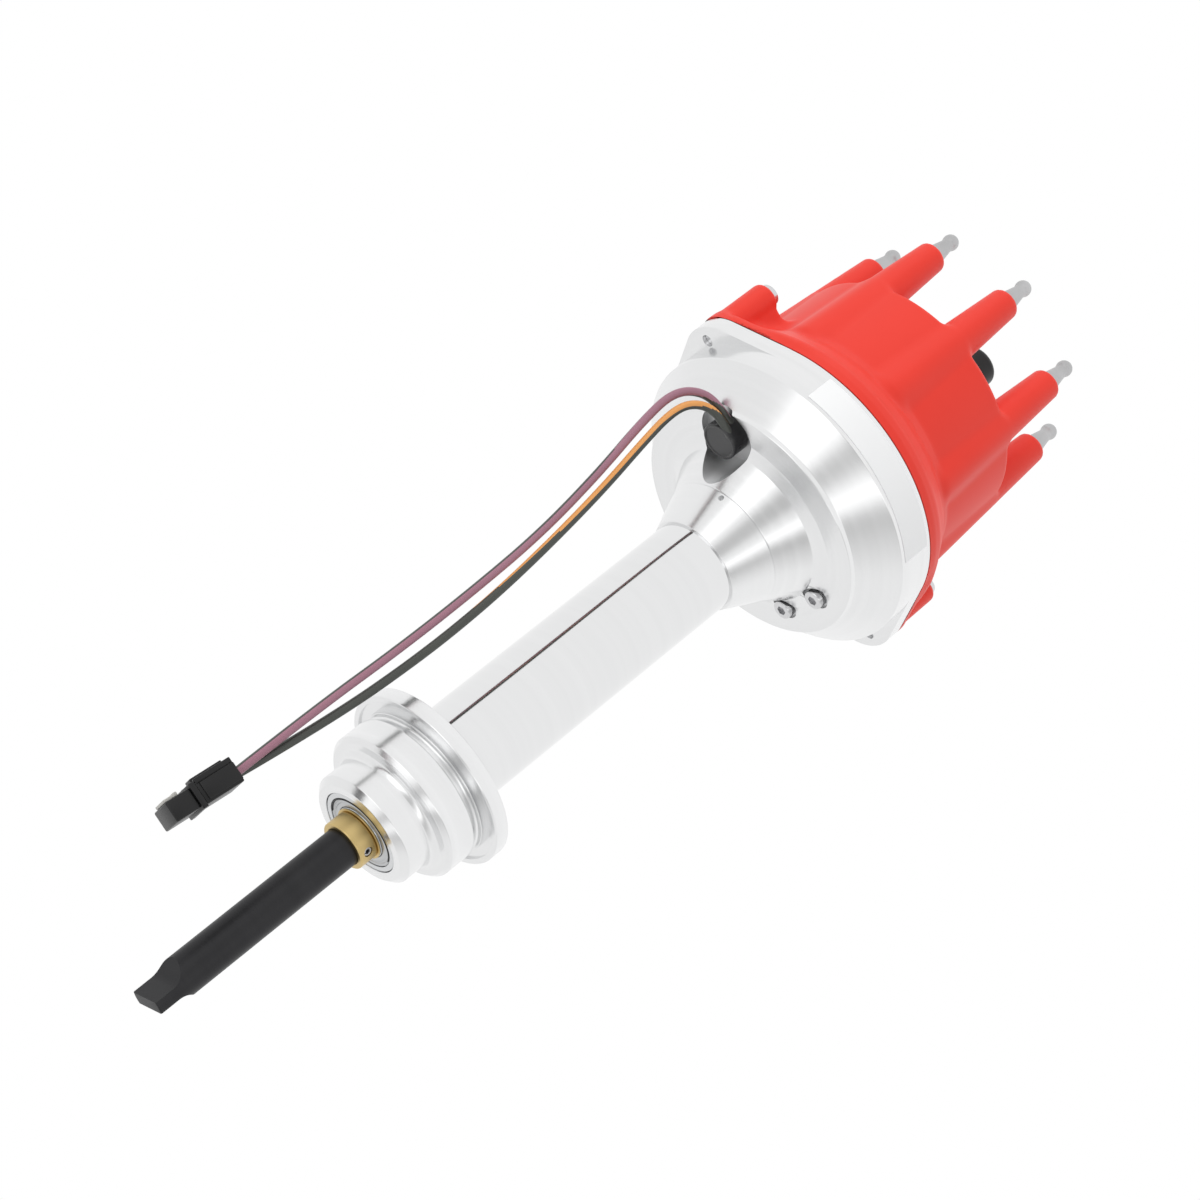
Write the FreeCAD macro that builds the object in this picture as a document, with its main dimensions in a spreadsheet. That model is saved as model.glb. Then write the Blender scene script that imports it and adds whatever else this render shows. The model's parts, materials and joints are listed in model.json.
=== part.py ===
import FreeCAD, Part
import math
import os
import Sketcher
from FreeCAD import Placement, Rotation, Vector

# An engine's ignition distributor, standing as it does in the engine.
# Lengths are in millimetres and angles in degrees.
# The origin is on the shaft's axis, in the face that rests on the engine block.
# +Z runs up the shaft to the cap, and the cap's two screws lie on the X axis.

document = FreeCAD.newDocument("Distributor")
sheet = document.addObject("Spreadsheet::Sheet", "Sizes")
sub_parts = []


# Driving sizes. Each one moves what depends on it.

# Fits
fit_gap = 0.05
seat_gap = 0.1
edge_break = 0.4

# Shaft and its drive tang
shaft_radius = 6.35
shaft_tail = 81.4
tang_length = 9.0
tang_thickness = 4.0
tang_shoulder = 5.0
tang_angle = 14.7
shaft_step = 2.15
shaft_head_stand = 0.8

# Thrust collar with its pin
collar_wall = 1.8
collar_length = 6.3
washer_thickness = 0.5
washer_width = 2.55
roll_pin_radius = 1.5
roll_pin_bore = 0.8
roll_pin_slot = 0.4
roll_pin_angle = -60.3

# Ball bearings
bearing_section = 7.9375
bearing_width = 7.94
ball_radius = 1.984
ball_count = 9
track_depth = 0.7
race_rim = 1.7875
shield_thickness = 0.35
shield_depth = 0.3
shield_step = 0.3

# Column: nose, pilot, flange, tube and neck
nose_length = 12.1
nose_wall = 5.0125
nose_chamfer = 2.0
nose_fillet = 2.5
pilot_step = 6.1
pilot_length = 14.5
pilot_chamfer = 1.4
groove_offset = 1.2
groove_width = 2.9
groove_depth = 1.6
flange_width = 5.1
flange_thickness = 5.1
relief_width = 3.1
relief_depth = 0.8
bore_margin = 2.65
tube_wall = 7.1
tube_length = 114.9
tube_fillet = 1.2
neck_step = 0.8
neck_height = 14.0
neck_flare = 6.7
neck_hole_radius = 0.9
neck_hole_depth = 2.0
neck_hole_drop = 1.6
neck_hole_angle = -138.2
spigot_step = 4.8
spigot_length = 8.0

# Bowl
rim_radius = 54.2
rim_height = 14.0
rim_chamfer = 1.0
cone_flare = 6.0
cone_height = 13.0
plateau_fillet = 2.4
bowl_flare = 11.2
flare_height = 12.2
ledge_height = 1.6
floor_thickness = 7.0
bowl_wall = 5.7
boss_wall = 5.7125
bearing_sink = 2.0
ear_overhang = 2.4
ear_radius = 5.7
ear_height = 5.6

# Grommet in its pocket
grommet_inset = 9.5
grommet_angle = -157.5
grommet_radius = 6.5
grommet_shoulder = 1.6
grommet_head = 6.7
grommet_lip = 2.4
grommet_round = 0.8
pocket_margin = 4.0
pocket_depth = 3.0

# Pickup and its two screws
pickup_inset = 10.0
pickup_angle = -7.5
pickup_spread = 16.5
pickup_end_angle = 5.0
pickup_base_height = 3.0
pickup_width = 9.0
coil_radius = 4.2
coil_length = 8.0
pole_thickness = 2.4
pole_reach = 4.0
pole_tip = 2.0
pickup_air_gap = 0.5
magnet_length = 3.5
screw_head_radius = 3.4
screw_head_height = 3.6
screw_radius = 2.0
screw_length = 8.0
screw_socket = 1.6
spotface_margin = 1.0
spotface_depth = 1.2

# Advance mechanism on the shaft's upper end
upper_washer_thickness = 0.6
sleeve_wall = 2.6
hub_wall = 3.45
reluctor_rise = 1.4
reluctor_height = 7.0
paddle_count = 8
paddle_thickness = 2.4
coil_headroom = 2.1
plate_thickness = 2.0
plate_margin = 1.8
post_offset = 8.5
post_radius = 3.0
post_wall = 1.5
post_height = 9.0
cam_clearance = 0.5
weight_width = 10.6
weight_thickness = 4.0
weight_end_angle = 172.0
weight_bevel_angle = 5.0
weight_nose_width = 3.2
pivot_angle = 22.0
pivot_radius = 2.0
pivot_tip = 1.3
cam_nose = 3.9
cam_wall = 1.4
cam_pin_offset = 2.2
cam_pin_radius = 0.9
clip_thickness = 0.8
clip_width = 0.8
spring_clearance = 0.7
spring_radius = 1.5
spring_turns = 7
spring_wire = 0.6

# Rotor
rotor_headroom = 10.86
rotor_base_height = 3.4
rotor_clearance = 0.6
rotor_neck_radius = 11.0
rotor_neck_height = 6.0
rotor_wall = 3.0
rotor_arm_width = 12.0
rotor_arm_thickness = 4.5
rotor_screw_head = 2.0
blade_width = 7.0
blade_thickness = 1.4
blade_air_gap = 0.6
blade_overhang = 3.0
contact_radius = 4.0
contact_height = 0.8

# Cap
cap_overhang = 0.1
cap_flange_height = 3.6
cap_shoulder_inset = 3.7
cap_shoulder_rise = 6.0
cap_body_inset = 7.3
cap_body_rise = 5.6
cap_draft = 1.0
cap_height = 51.8
cap_top_round = 1.2
cap_wall = 3.0
cap_roof = 4.2
cap_lip = 2.2
cap_lip_wall = 2.5
tower_count = 8
tower_inset = 5.6
tower_height = 29.6
tower_top_radius = 5.3
tower_round = 1.6
tower_foot_drop = 3.6
tower_foot_radius = 8.8
tower_foot_round = 3.6
cap_ear_plate = 4.0
cap_ear_height = 24.0
cap_web_width = 8.6
cap_web_drop = 1.5
coil_tower_offset = 7.0
coil_tower_angle = -16.7
coil_tower_radius = 8.6
coil_tower_height = 13.0
coil_neck_inset = 3.0
coil_neck_height = 13.0
cover_inset = 1.0
cover_air_height = 3.0
cover_roof = 7.0
cover_round = 1.8

# Terminals, brush and the cap's screws
stud_radius = 2.3
stud_head_step = 0.2
stud_stand = 8.25
stud_ball_radius = 2.85
contact_overlap = 1.14
brush_radius = 2.5
brush_length = 4.8
brush_chamfer = 1.2
brush_gap = 0.15
brush_travel = 1.6
brush_guide_wall = 0.9
brush_guide_roof = 1.0
brush_bar_thickness = 1.2
brush_spring_turns = 3
cap_screw_head_radius = 3.7
cap_screw_head_height = 2.4
cap_screw_short = 1.0

# Wires and their plug
wire_radius = 1.4
plug_top = -55.0
plug_width = 13.6
plug_thickness = 7.0
plug_rear_length = 13.0
plug_collar_length = 1.8
plug_collar_step = 0.6
plug_front_length = 8.2
plug_lean = 4.7
plug_turn = -16.7
plug_pitch = 4.6
plug_hole_radius = 1.3
plug_pin_radius = 0.65
plug_pin_sink = 1.0
latch_width = 5.0
latch_thickness = 1.4
latch_length = 12.0
latch_drop = 1.0
latch_gap = 0.5
latch_root_length = 3.0
guard_rib_width = 1.1
guard_rib_height = 1.1
guard_rib_drop = 0.3
side_rib_width = 5.6
side_rib_height = 0.5
side_rib_drop = 1.3
lock_width = 8.6
lock_length = 4.0
lock_rise = 1.5
lock_thickness = 0.7


# Sizes that know their formula

class Size:
    """A number with the sheet formula that gives it."""

    def __init__(self, value, formula):
        self.value = float(value)
        self.formula = formula

    def joined(self, other, sign, value, swapped=False):
        left, right = self.formula, wording(other)
        if swapped:
            left, right = right, left
        return Size(value, f"({left} {sign} {right})")

    def __add__(self, other):
        return self.joined(other, "+", self.value + number(other))

    def __radd__(self, other):
        return self.joined(other, "+", number(other) + self.value, True)

    def __sub__(self, other):
        return self.joined(other, "-", self.value - number(other))

    def __rsub__(self, other):
        return self.joined(other, "-", number(other) - self.value, True)

    def __mul__(self, other):
        return self.joined(other, "*", self.value * number(other))

    def __rmul__(self, other):
        return self.joined(other, "*", number(other) * self.value, True)

    def __truediv__(self, other):
        return self.joined(other, "/", self.value / number(other))

    def __rtruediv__(self, other):
        return self.joined(other, "/", number(other) / self.value, True)

    def __neg__(self):
        return Size(-self.value, f"(-1 * {self.formula})")


def number(size):
    return size.value if isinstance(size, Size) else float(size)


def wording(size):
    return size.formula if isinstance(size, Size) else repr(size)


def cosine(angle):
    return Size(math.cos(math.radians(number(angle))), f"cos({wording(angle)} * 1 deg)")


def sine(angle):
    return Size(math.sin(math.radians(number(angle))), f"sin({wording(angle)} * 1 deg)")


def root(size):
    return Size(math.sqrt(number(size)), f"sqrt({wording(size)})")


def polar(radius, angle):
    return radius * cosine(angle), radius * sine(angle)


def named(alias, value):
    """Writes one driving dimension into the sheet."""
    cell = f"A{len(sheet.getUsedCells()) + 1}"
    sheet.set(cell, repr(value))
    sheet.setAlias(cell, alias)
    return Size(value, f"Sizes.{alias}")


# Each driving size goes into one cell of the sheet under its own name.
for size_name, size_value in list(globals().items()):
    if isinstance(size_value, (int, float)):
        globals()[size_name] = named(size_name, size_value)

# Radii that follow from the driving sizes, from the shaft outwards
shaft_top_radius = shaft_radius - shaft_step
collar_radius = shaft_radius + collar_wall
washer_radius = shaft_radius + washer_width
bearing_radius = shaft_radius + bearing_section
shield_radius = bearing_radius - race_rim
nose_radius = bearing_radius + nose_wall
pilot_radius = nose_radius + pilot_step
flange_radius = pilot_radius + flange_width
relief_radius = pilot_radius + relief_width
tube_bore = shaft_radius + bore_margin
tube_radius = tube_bore + tube_wall
neck_radius = tube_radius + neck_flare
spigot_radius = neck_radius - spigot_step
bowl_cone_radius = neck_radius + cone_flare
plateau_radius = rim_radius - bowl_flare
boss_radius = bearing_radius + boss_wall
ear_reach = rim_radius + ear_overhang
screw_hole_radius = screw_radius + seat_gap
spotface_radius = screw_head_radius + spotface_margin
grommet_reach = plateau_radius - grommet_inset
grommet_neck = grommet_radius - grommet_shoulder
pocket_radius = grommet_radius + pocket_margin
pickup_reach = plateau_radius - pickup_inset
pole_start = pickup_reach - pickup_width / 2 - pole_reach
coil_start = pole_start + pole_tip
paddle_reach = pole_start - pickup_air_gap
sleeve_radius = shaft_radius + fit_gap + sleeve_wall
reluctor_hub_radius = sleeve_radius + fit_gap + hub_wall
cam_length = shaft_top_radius + cam_nose
cam_width = shaft_top_radius + cam_wall
cam_pin_reach = shaft_top_radius + cam_pin_offset
clip_radius = shaft_top_radius + clip_width
weight_inner_radius = cam_length + cam_clearance
weight_outer_radius = weight_inner_radius + weight_width
pivot_reach = (weight_inner_radius + weight_outer_radius) / 2
plate_waist = weight_outer_radius + plate_margin
post_reach = plate_waist + post_offset
arm_radius = post_radius + post_wall
rotor_base_radius = post_reach + arm_radius
rotor_waist_radius = weight_outer_radius + rotor_clearance + rotor_wall
cap_radius = rim_radius + cap_overhang
cap_shoulder_radius = cap_radius - cap_shoulder_inset
cap_body_radius = cap_radius - cap_body_inset
cap_top_radius = cap_body_radius - cap_draft
tower_reach = cap_top_radius - tower_inset
tower_angle = 180 / tower_count
coil_neck_radius = coil_tower_radius - coil_neck_inset
cover_radius = coil_tower_radius - cover_inset
stud_head_radius = stud_radius + stud_head_step
blade_end = tower_reach - stud_head_radius - blade_air_gap

# Heights that follow from the driving sizes, from the nose up
pilot_face = -pilot_length
nose_face = pilot_face - nose_length
tang_end = nose_face - shaft_tail
groove_top = -groove_offset
lower_bearing_bottom = nose_face + shield_depth
washer_bottom = lower_bearing_bottom - seat_gap - washer_thickness
collar_top = washer_bottom - seat_gap
collar_bottom = collar_top - collar_length
collar_middle = collar_top - collar_length / 2
column_shelf = lower_bearing_bottom + bearing_width + seat_gap
neck_bottom = flange_thickness + tube_length
neck_top = neck_bottom + neck_height
plateau_height = neck_top + cone_height
pocket_floor = plateau_height + pocket_depth
rim_bottom = plateau_height + flare_height
rim_top = rim_bottom + rim_height
ear_bottom = rim_top - ear_height
bowl_floor = plateau_height + floor_thickness
upper_bearing_bottom = bowl_floor - bearing_sink
upper_bearing_top = upper_bearing_bottom + bearing_width
upper_washer_bottom = upper_bearing_top + seat_gap
sleeve_bottom = upper_washer_bottom + upper_washer_thickness + seat_gap
reluctor_bottom = sleeve_bottom + reluctor_rise
pole_height = reluctor_bottom + reluctor_height / 2
plate_bottom = pole_height + coil_radius + coil_headroom
plate_top = plate_bottom + plate_thickness
weight_bottom = plate_top + seat_gap
weight_top = weight_bottom + weight_thickness
shaft_head_bottom = plate_top - seat_gap
cam_bottom = plate_top + seat_gap
cam_top = cam_bottom + weight_thickness
clip_bottom = cam_top + seat_gap
shaft_head_top = clip_bottom + clip_thickness + shaft_head_stand
spring_height = weight_top + spring_radius + spring_clearance
rotor_bottom = plate_top + post_height
cap_flange_top = rim_top + cap_flange_height
cap_shoulder_height = cap_flange_top + cap_shoulder_rise
cap_body_bottom = cap_shoulder_height + cap_body_rise
cap_ear_top = rim_top + cap_ear_height
cap_top = rim_top + cap_height
roof_bottom = cap_top - cap_roof
rotor_top = roof_bottom - rotor_headroom
contact_bottom = rotor_top - contact_overlap
contact_top = rotor_top + blade_thickness + contact_height
brush_bottom = contact_top + brush_gap
tower_foot = cap_body_bottom - tower_foot_drop
tower_top = cap_top + tower_height
coil_tower_top = cap_top + coil_tower_height
coil_neck_top = coil_tower_top + coil_neck_height
cover_cavity_top = coil_neck_top + cover_air_height
cover_top = cover_cavity_top + cover_roof
stud_ball_height = tower_top + stud_stand


# Ways of making a piece

def bind(item, path, size):
    """Ties one property of an object to the sheet."""
    if isinstance(size, Size):
        item.setExpression(path, size.formula)


def place(item, x=0, y=0, z=0, turn=0):
    """Stands an object at x, y, z, turned about Z."""
    spot = Vector(number(x), number(y), number(z))
    item.Placement = Placement(spot, Rotation(Vector(0, 0, 1), number(turn)))
    bind(item, "Placement.Base.x", x)
    bind(item, "Placement.Base.y", y)
    bind(item, "Placement.Base.z", z)
    if isinstance(turn, Size):
        item.setExpression("Placement.Rotation.Angle", f"{turn.formula} * 1 deg")


def keep(item, label):
    """Counts an object as a finished sub-part under its own name."""
    item.Label = label
    sub_parts.append(item)
    return item


def new_body(label):
    return keep(document.addObject("PartDesign::Body", "Body_" + label), label)


def origin_feature(body, role):
    return next(item for item in body.Origin.OriginFeatures if item.Role == role)


def arc_between(start, end, radius, turn):
    """The short arc from start to end, to the left for a turn of 1 and to the right for -1."""
    chord = end - start
    across = Vector(-chord.y, chord.x, 0).normalize()
    rise = math.sqrt(max(radius ** 2 - (chord.Length / 2) ** 2, 0))
    centre = start + chord * 0.5 + across * (rise * turn)
    first, last = (start, end) if turn > 0 else (end, start)
    angles = [math.atan2(point.y - centre.y, point.x - centre.x) for point in (first, last)]
    return Part.ArcOfCircle(Part.Circle(centre, Vector(0, 0, 1), radius), angles[0], angles[1])


def new_sketch(body, plane, rise=0, turn=0):
    """An empty sketch on one of the body's own planes, lifted and turned about that plane's normal."""
    drawing = body.newObject("Sketcher::SketchObject", body.Name + "_sketch")
    drawing.AttachmentSupport = [(origin_feature(body, plane), "")]
    drawing.MapMode = "FlatFace"
    drawing.AttachmentOffset = Placement(Vector(0, 0, number(rise)), Rotation(Vector(0, 0, 1), number(turn)))
    bind(drawing, "AttachmentOffset.Base.z", rise)
    if isinstance(turn, Size):
        drawing.setExpression("AttachmentOffset.Rotation.Angle", f"{turn.formula} * 1 deg")
    return drawing


def dimension(drawing, kind, *where, size):
    """Adds one dimension to a sketch and ties it to the sheet."""
    index = drawing.addConstraint(Sketcher.Constraint(kind, *where, number(size)))
    bind(drawing, f"Constraints[{index}]", size)


def hold_point(drawing, geometry, position, across, up):
    """Fixes one point of a sketch at two sizes from its origin."""
    for kind, size, axis in (("DistanceX", across, -2), ("DistanceY", up, -1)):
        if isinstance(size, Size):
            dimension(drawing, kind, -1, 1, geometry, position, size=size)
        else:
            drawing.addConstraint(Sketcher.Constraint("PointOnObject", geometry, position, axis))


def draw_outline(drawing, corners):
    """Draws a closed outline. A corner is (across, up), with a radius and a turn where an arc leads to it."""
    ends = []
    for index, corner in enumerate(corners):
        start = Vector(number(corners[index - 1][0]), number(corners[index - 1][1]), 0)
        end = Vector(number(corner[0]), number(corner[1]), 0)
        if len(corner) == 2:
            drawing.addGeometry(Part.LineSegment(start, end))
            ends.append((1, 2))
        else:
            drawing.addGeometry(arc_between(start, end, number(corner[2]), corner[3]))
            ends.append((1, 2) if corner[3] > 0 else (2, 1))
    for index, corner in enumerate(corners):
        before = (index - 1) % len(corners)
        joint = Sketcher.Constraint("Coincident", before, ends[before][1], index, ends[index][0])
        drawing.addConstraint(joint)
        hold_point(drawing, index, ends[index][1], corner[0], corner[1])
        if len(corner) == 4:
            dimension(drawing, "Radius", index, size=corner[2])


def revolve(body, corners, kind="PartDesign::Revolution", away=0):
    """Turns an outline of (radius, height) corners about an upright axis away from the body's own."""
    drawing = new_sketch(body, "XZ_Plane")
    drawing.AttachmentOffset = Placement(Vector(number(away), 0, 0), Rotation())
    bind(drawing, "AttachmentOffset.Base.x", away)
    draw_outline(drawing, corners)
    turned_form = body.newObject(kind, body.Name + "_turn")
    turned_form.Profile = drawing
    turned_form.ReferenceAxis = (drawing, ["V_Axis"])
    turned_form.Angle = 360
    return turned_form


def turned(label, corners):
    body = new_body(label)
    revolve(body, corners)
    return body


def pad(body, corners, bottom, height, turn=0, kind="PartDesign::Pad"):
    """Raises an outline drawn at one height."""
    drawing = new_sketch(body, "XY_Plane", bottom, turn)
    draw_outline(drawing, corners)
    raised = body.newObject(kind, body.Name + "_pad")
    raised.Profile = drawing
    raised.Length = number(height)
    bind(raised, "Length", height)
    return raised


def padded(label, corners, bottom, height):
    body = new_body(label)
    pad(body, corners, bottom, height)
    return body


def solid_in(body, form, sizes, x=0, y=0, z=0, turn=0):
    """Adds or cuts one simple solid, such as an AdditiveCylinder or a SubtractiveBox, in a body."""
    feature = body.newObject("PartDesign::" + form, body.Name + "_" + form)
    for key, size in sizes.items():
        setattr(feature, key, number(size))
        bind(feature, key, size)
    place(feature, x, y, z, turn)
    return feature


def radial_spot(start, width, angle):
    """The corner from which a box of this width lies centred on a radius."""
    x, y = polar(start, angle)
    return x + width / 2 * sine(angle), y - width / 2 * cosine(angle)


def drill(body, radius, bottom, top, x=0, y=0):
    """Cuts a round upright hole from bottom to top."""
    return solid_in(body, "SubtractiveCylinder", {"Radius": radius, "Height": top - bottom}, x, y, bottom)


def lie_across(item, angle, start, height):
    """Lays a solid that points up along a level line through the axis, at an angle to +X."""
    aim = Rotation(Vector(0, 0, 1), number(angle)) * Rotation(Vector(0, 1, 0), 90)
    x, y = polar(start, angle)
    item.Placement = Placement(Vector(number(x), number(y), number(height)), aim)
    bind(item, "Placement.Base.x", x)
    bind(item, "Placement.Base.y", y)
    bind(item, "Placement.Base.z", height)


def repeat(body, feature, count):
    """Repeats a feature evenly about the body's upright axis."""
    pattern = body.newObject("PartDesign::PolarPattern", body.Name + "_pattern")
    pattern.Originals = [feature]
    pattern.Axis = (origin_feature(body, "Z_Axis"), [""])
    pattern.Angle = 360
    pattern.Occurrences = int(number(count))
    bind(pattern, "Occurrences", count)
    body.Tip = pattern
    return pattern


def primitive(form, sizes, x=0, y=0, z=0, turn=0):
    """One Part primitive, such as a Cylinder, placed and tied to the sheet."""
    item = document.addObject("Part::" + form, form)
    for key, size in sizes.items():
        setattr(item, key, number(size))
        bind(item, key, size)
    place(item, x, y, z, turn)
    return item


def combine(form, items):
    """A Fuse, Cut or Compound of other objects."""
    joined = document.addObject("Part::" + form, form)
    if form == "Compound":
        joined.Links = items
    else:
        joined.Base, joined.Tool = items
    return joined


# Drive shaft

def make_drive_shaft():
    """A round shaft: its foot is a flat tang with hollowed shoulders, and its head is stepped for the cam."""
    bottom = tang_end
    shoulder = shaft_head_bottom
    body = turned("drive_shaft", [
        (0, bottom), (shaft_radius - edge_break, bottom), (shaft_radius, bottom + edge_break),
        (shaft_radius, shoulder), (shaft_top_radius, shoulder),
        (shaft_top_radius, shaft_head_top - edge_break), (shaft_top_radius - edge_break, shaft_head_top),
        (0, shaft_head_top)])
    flat = tang_thickness / 2
    top = bottom + tang_length
    reach = shaft_radius * 3
    drawing = new_sketch(body, "XZ_Plane")
    draw_outline(drawing, [
        (flat, bottom - tang_length), (reach, bottom - tang_length), (reach, top + tang_shoulder),
        (flat + tang_shoulder, top + tang_shoulder), (flat, top, tang_shoulder, 1)])
    side = body.newObject("PartDesign::Pocket", "Tang_side")
    side.Profile = drawing
    side.Midplane = True
    side.Length = number(reach)
    bind(side, "Length", reach)
    repeat(body, side, 2)
    pin_hole = solid_in(body, "SubtractiveCylinder",
                        {"Radius": roll_pin_radius + fit_gap, "Height": collar_radius * 4})
    lie_across(pin_hole, roll_pin_angle - tang_angle, collar_radius * -2, collar_middle)
    place(body, turn=tang_angle)


def make_collar_group():
    """The thrust collar, its cross pin, and the washer between it and the bearing."""
    bore = shaft_radius + fit_gap
    collar = turned("thrust_collar", [
        (bore, collar_bottom), (collar_radius - edge_break, collar_bottom),
        (collar_radius, collar_bottom + edge_break), (collar_radius, collar_top - edge_break),
        (collar_radius - edge_break, collar_top), (bore, collar_top)])
    hole = solid_in(collar, "SubtractiveCylinder",
                    {"Radius": roll_pin_radius + fit_gap, "Height": collar_radius * 4})
    lie_across(hole, roll_pin_angle, collar_radius * -2, collar_middle)
    turned("thrust_washer", [
        (bore, washer_bottom), (washer_radius, washer_bottom),
        (washer_radius, washer_bottom + washer_thickness), (bore, washer_bottom + washer_thickness)])
    pin_length = collar_radius * 2 - edge_break * 2
    outside = primitive("Cylinder", {"Radius": roll_pin_radius, "Height": pin_length})
    inside = primitive("Cylinder", {"Radius": roll_pin_bore, "Height": pin_length})
    for item in (outside, inside):
        lie_across(item, roll_pin_angle, pin_length / -2, collar_middle)
    tube = combine("Cut", (outside, inside))
    slot = primitive("Box", {"Length": pin_length, "Width": roll_pin_slot, "Height": roll_pin_radius * 2})
    x, y = polar(pin_length / -2, roll_pin_angle)
    place(slot, x, y, collar_middle, roll_pin_angle)
    keep(combine("Cut", (tube, slot)), "roll_pin")


# Ball bearings

def make_shield(name, face, inward, inner_land, pitch, outer_land):
    """A pressed disc just inside one face of a bearing, with a ring-shaped dip that stiffens it."""
    near = face + shield_depth * inward
    far = near + shield_thickness * inward
    dip = shield_step * inward
    skew = shield_thickness / 2
    hole = inner_land + seat_gap
    edge = shield_radius - fit_gap
    dip_start = pitch
    dip_end = outer_land - seat_gap - skew
    disc = document.addObject("PartDesign::Body", f"Shield_{name}")
    revolve(disc, [
        (hole, near), (dip_start, near), (dip_start + shield_step, near + dip),
        (dip_end - shield_step, near + dip), (dip_end, near), (edge, near), (edge, far),
        (dip_end + skew, far), (dip_end + skew - shield_step, far + dip),
        (dip_start - skew + shield_step, far + dip), (dip_start - skew, far), (hole, far)])
    return disc


def make_bearing(name, bottom):
    """A shielded ball bearing: two races with round tracks, the balls, and a shield at each face."""
    top = bottom + bearing_width
    middle = bottom + bearing_width / 2
    pitch = (shaft_radius + bearing_radius) / 2
    track = ball_radius + fit_gap
    land_height = ball_radius - track_depth
    half_track = root(track * track - land_height * land_height)
    outer_land = pitch + land_height
    inner_land = pitch - land_height
    step = shield_depth + shield_thickness + fit_gap
    turned(name + "_bearing_outer_race", [
        (shield_radius, bottom), (bearing_radius - edge_break, bottom),
        (bearing_radius, bottom + edge_break), (bearing_radius, top - edge_break),
        (bearing_radius - edge_break, top), (shield_radius, top), (shield_radius, top - step),
        (outer_land, top - step), (outer_land, middle + half_track),
        (outer_land, middle - half_track, track, -1), (outer_land, bottom + step),
        (shield_radius, bottom + step)])
    bore = shaft_radius + fit_gap
    turned(name + "_bearing_inner_race", [
        (bore, bottom + edge_break), (bore + edge_break, bottom), (inner_land, bottom),
        (inner_land, middle - half_track), (inner_land, middle + half_track, track, -1),
        (inner_land, top), (bore + edge_break, top), (bore, top - edge_break)])
    shields = [make_shield(name, bottom, 1, inner_land, pitch, outer_land),
               make_shield(name, top, -1, inner_land, pitch, outer_land)]
    keep(combine("Compound", shields), name + "_bearing_shields")
    balls = []
    for index in range(int(ball_count.value)):
        x, y = polar(pitch, index * 360 / ball_count)
        balls.append(primitive("Sphere", {"Radius": ball_radius}, x, y, middle))
    keep(combine("Compound", balls), name + "_bearing_balls")


# Column and bowl

def make_column():
    """The turned column: bearing nose, grooved pilot, flange, tube, and a neck with a spigot and a hole."""
    groove_floor = pilot_radius - groove_depth
    seat_bore = bearing_radius + fit_gap
    body = turned("column_housing", [
        (seat_bore + edge_break, nose_face), (nose_radius - nose_chamfer, nose_face),
        (nose_radius, nose_face + nose_chamfer), (nose_radius, pilot_face - nose_fillet),
        (nose_radius + nose_fillet, pilot_face, nose_fillet, -1),
        (pilot_radius - pilot_chamfer, pilot_face), (pilot_radius, pilot_face + pilot_chamfer),
        (pilot_radius, groove_top - groove_width), (groove_floor, groove_top - groove_width),
        (groove_floor, groove_top), (pilot_radius, groove_top), (pilot_radius, relief_depth),
        (relief_radius, relief_depth), (relief_radius, 0), (flange_radius - edge_break, 0),
        (flange_radius, edge_break), (flange_radius, flange_thickness - edge_break),
        (flange_radius - edge_break, flange_thickness), (tube_radius + tube_fillet, flange_thickness),
        (tube_radius, flange_thickness + tube_fillet, tube_fillet, -1), (tube_radius, neck_bottom),
        (tube_radius + neck_step, neck_bottom), (neck_radius, neck_top), (spigot_radius, neck_top),
        (spigot_radius, neck_top + spigot_length), (tube_bore, neck_top + spigot_length),
        (tube_bore, column_shelf), (seat_bore, column_shelf), (seat_bore, nose_face + edge_break)])
    pin_hole = solid_in(body, "SubtractiveCylinder",
                        {"Radius": neck_hole_radius, "Height": neck_hole_depth * 2})
    lie_across(pin_hole, neck_hole_angle, neck_radius - neck_hole_depth, neck_top - neck_hole_drop)


def ear_outline(reach, radius, rim):
    """A lug that runs tangentially from the rim to the round end about the screw."""
    slant = (rim - radius) / reach
    rise = root(1 - slant * slant)
    inside = rim - bowl_wall / 2
    tip = reach + radius * slant
    return [(inside * slant, inside * rise, inside, 1), (rim * slant, rim * rise), (tip, radius * rise),
            (tip, radius * rise * -1, radius, -1), (rim * slant, rim * rise * -1),
            (inside * slant, inside * rise * -1)]


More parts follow.
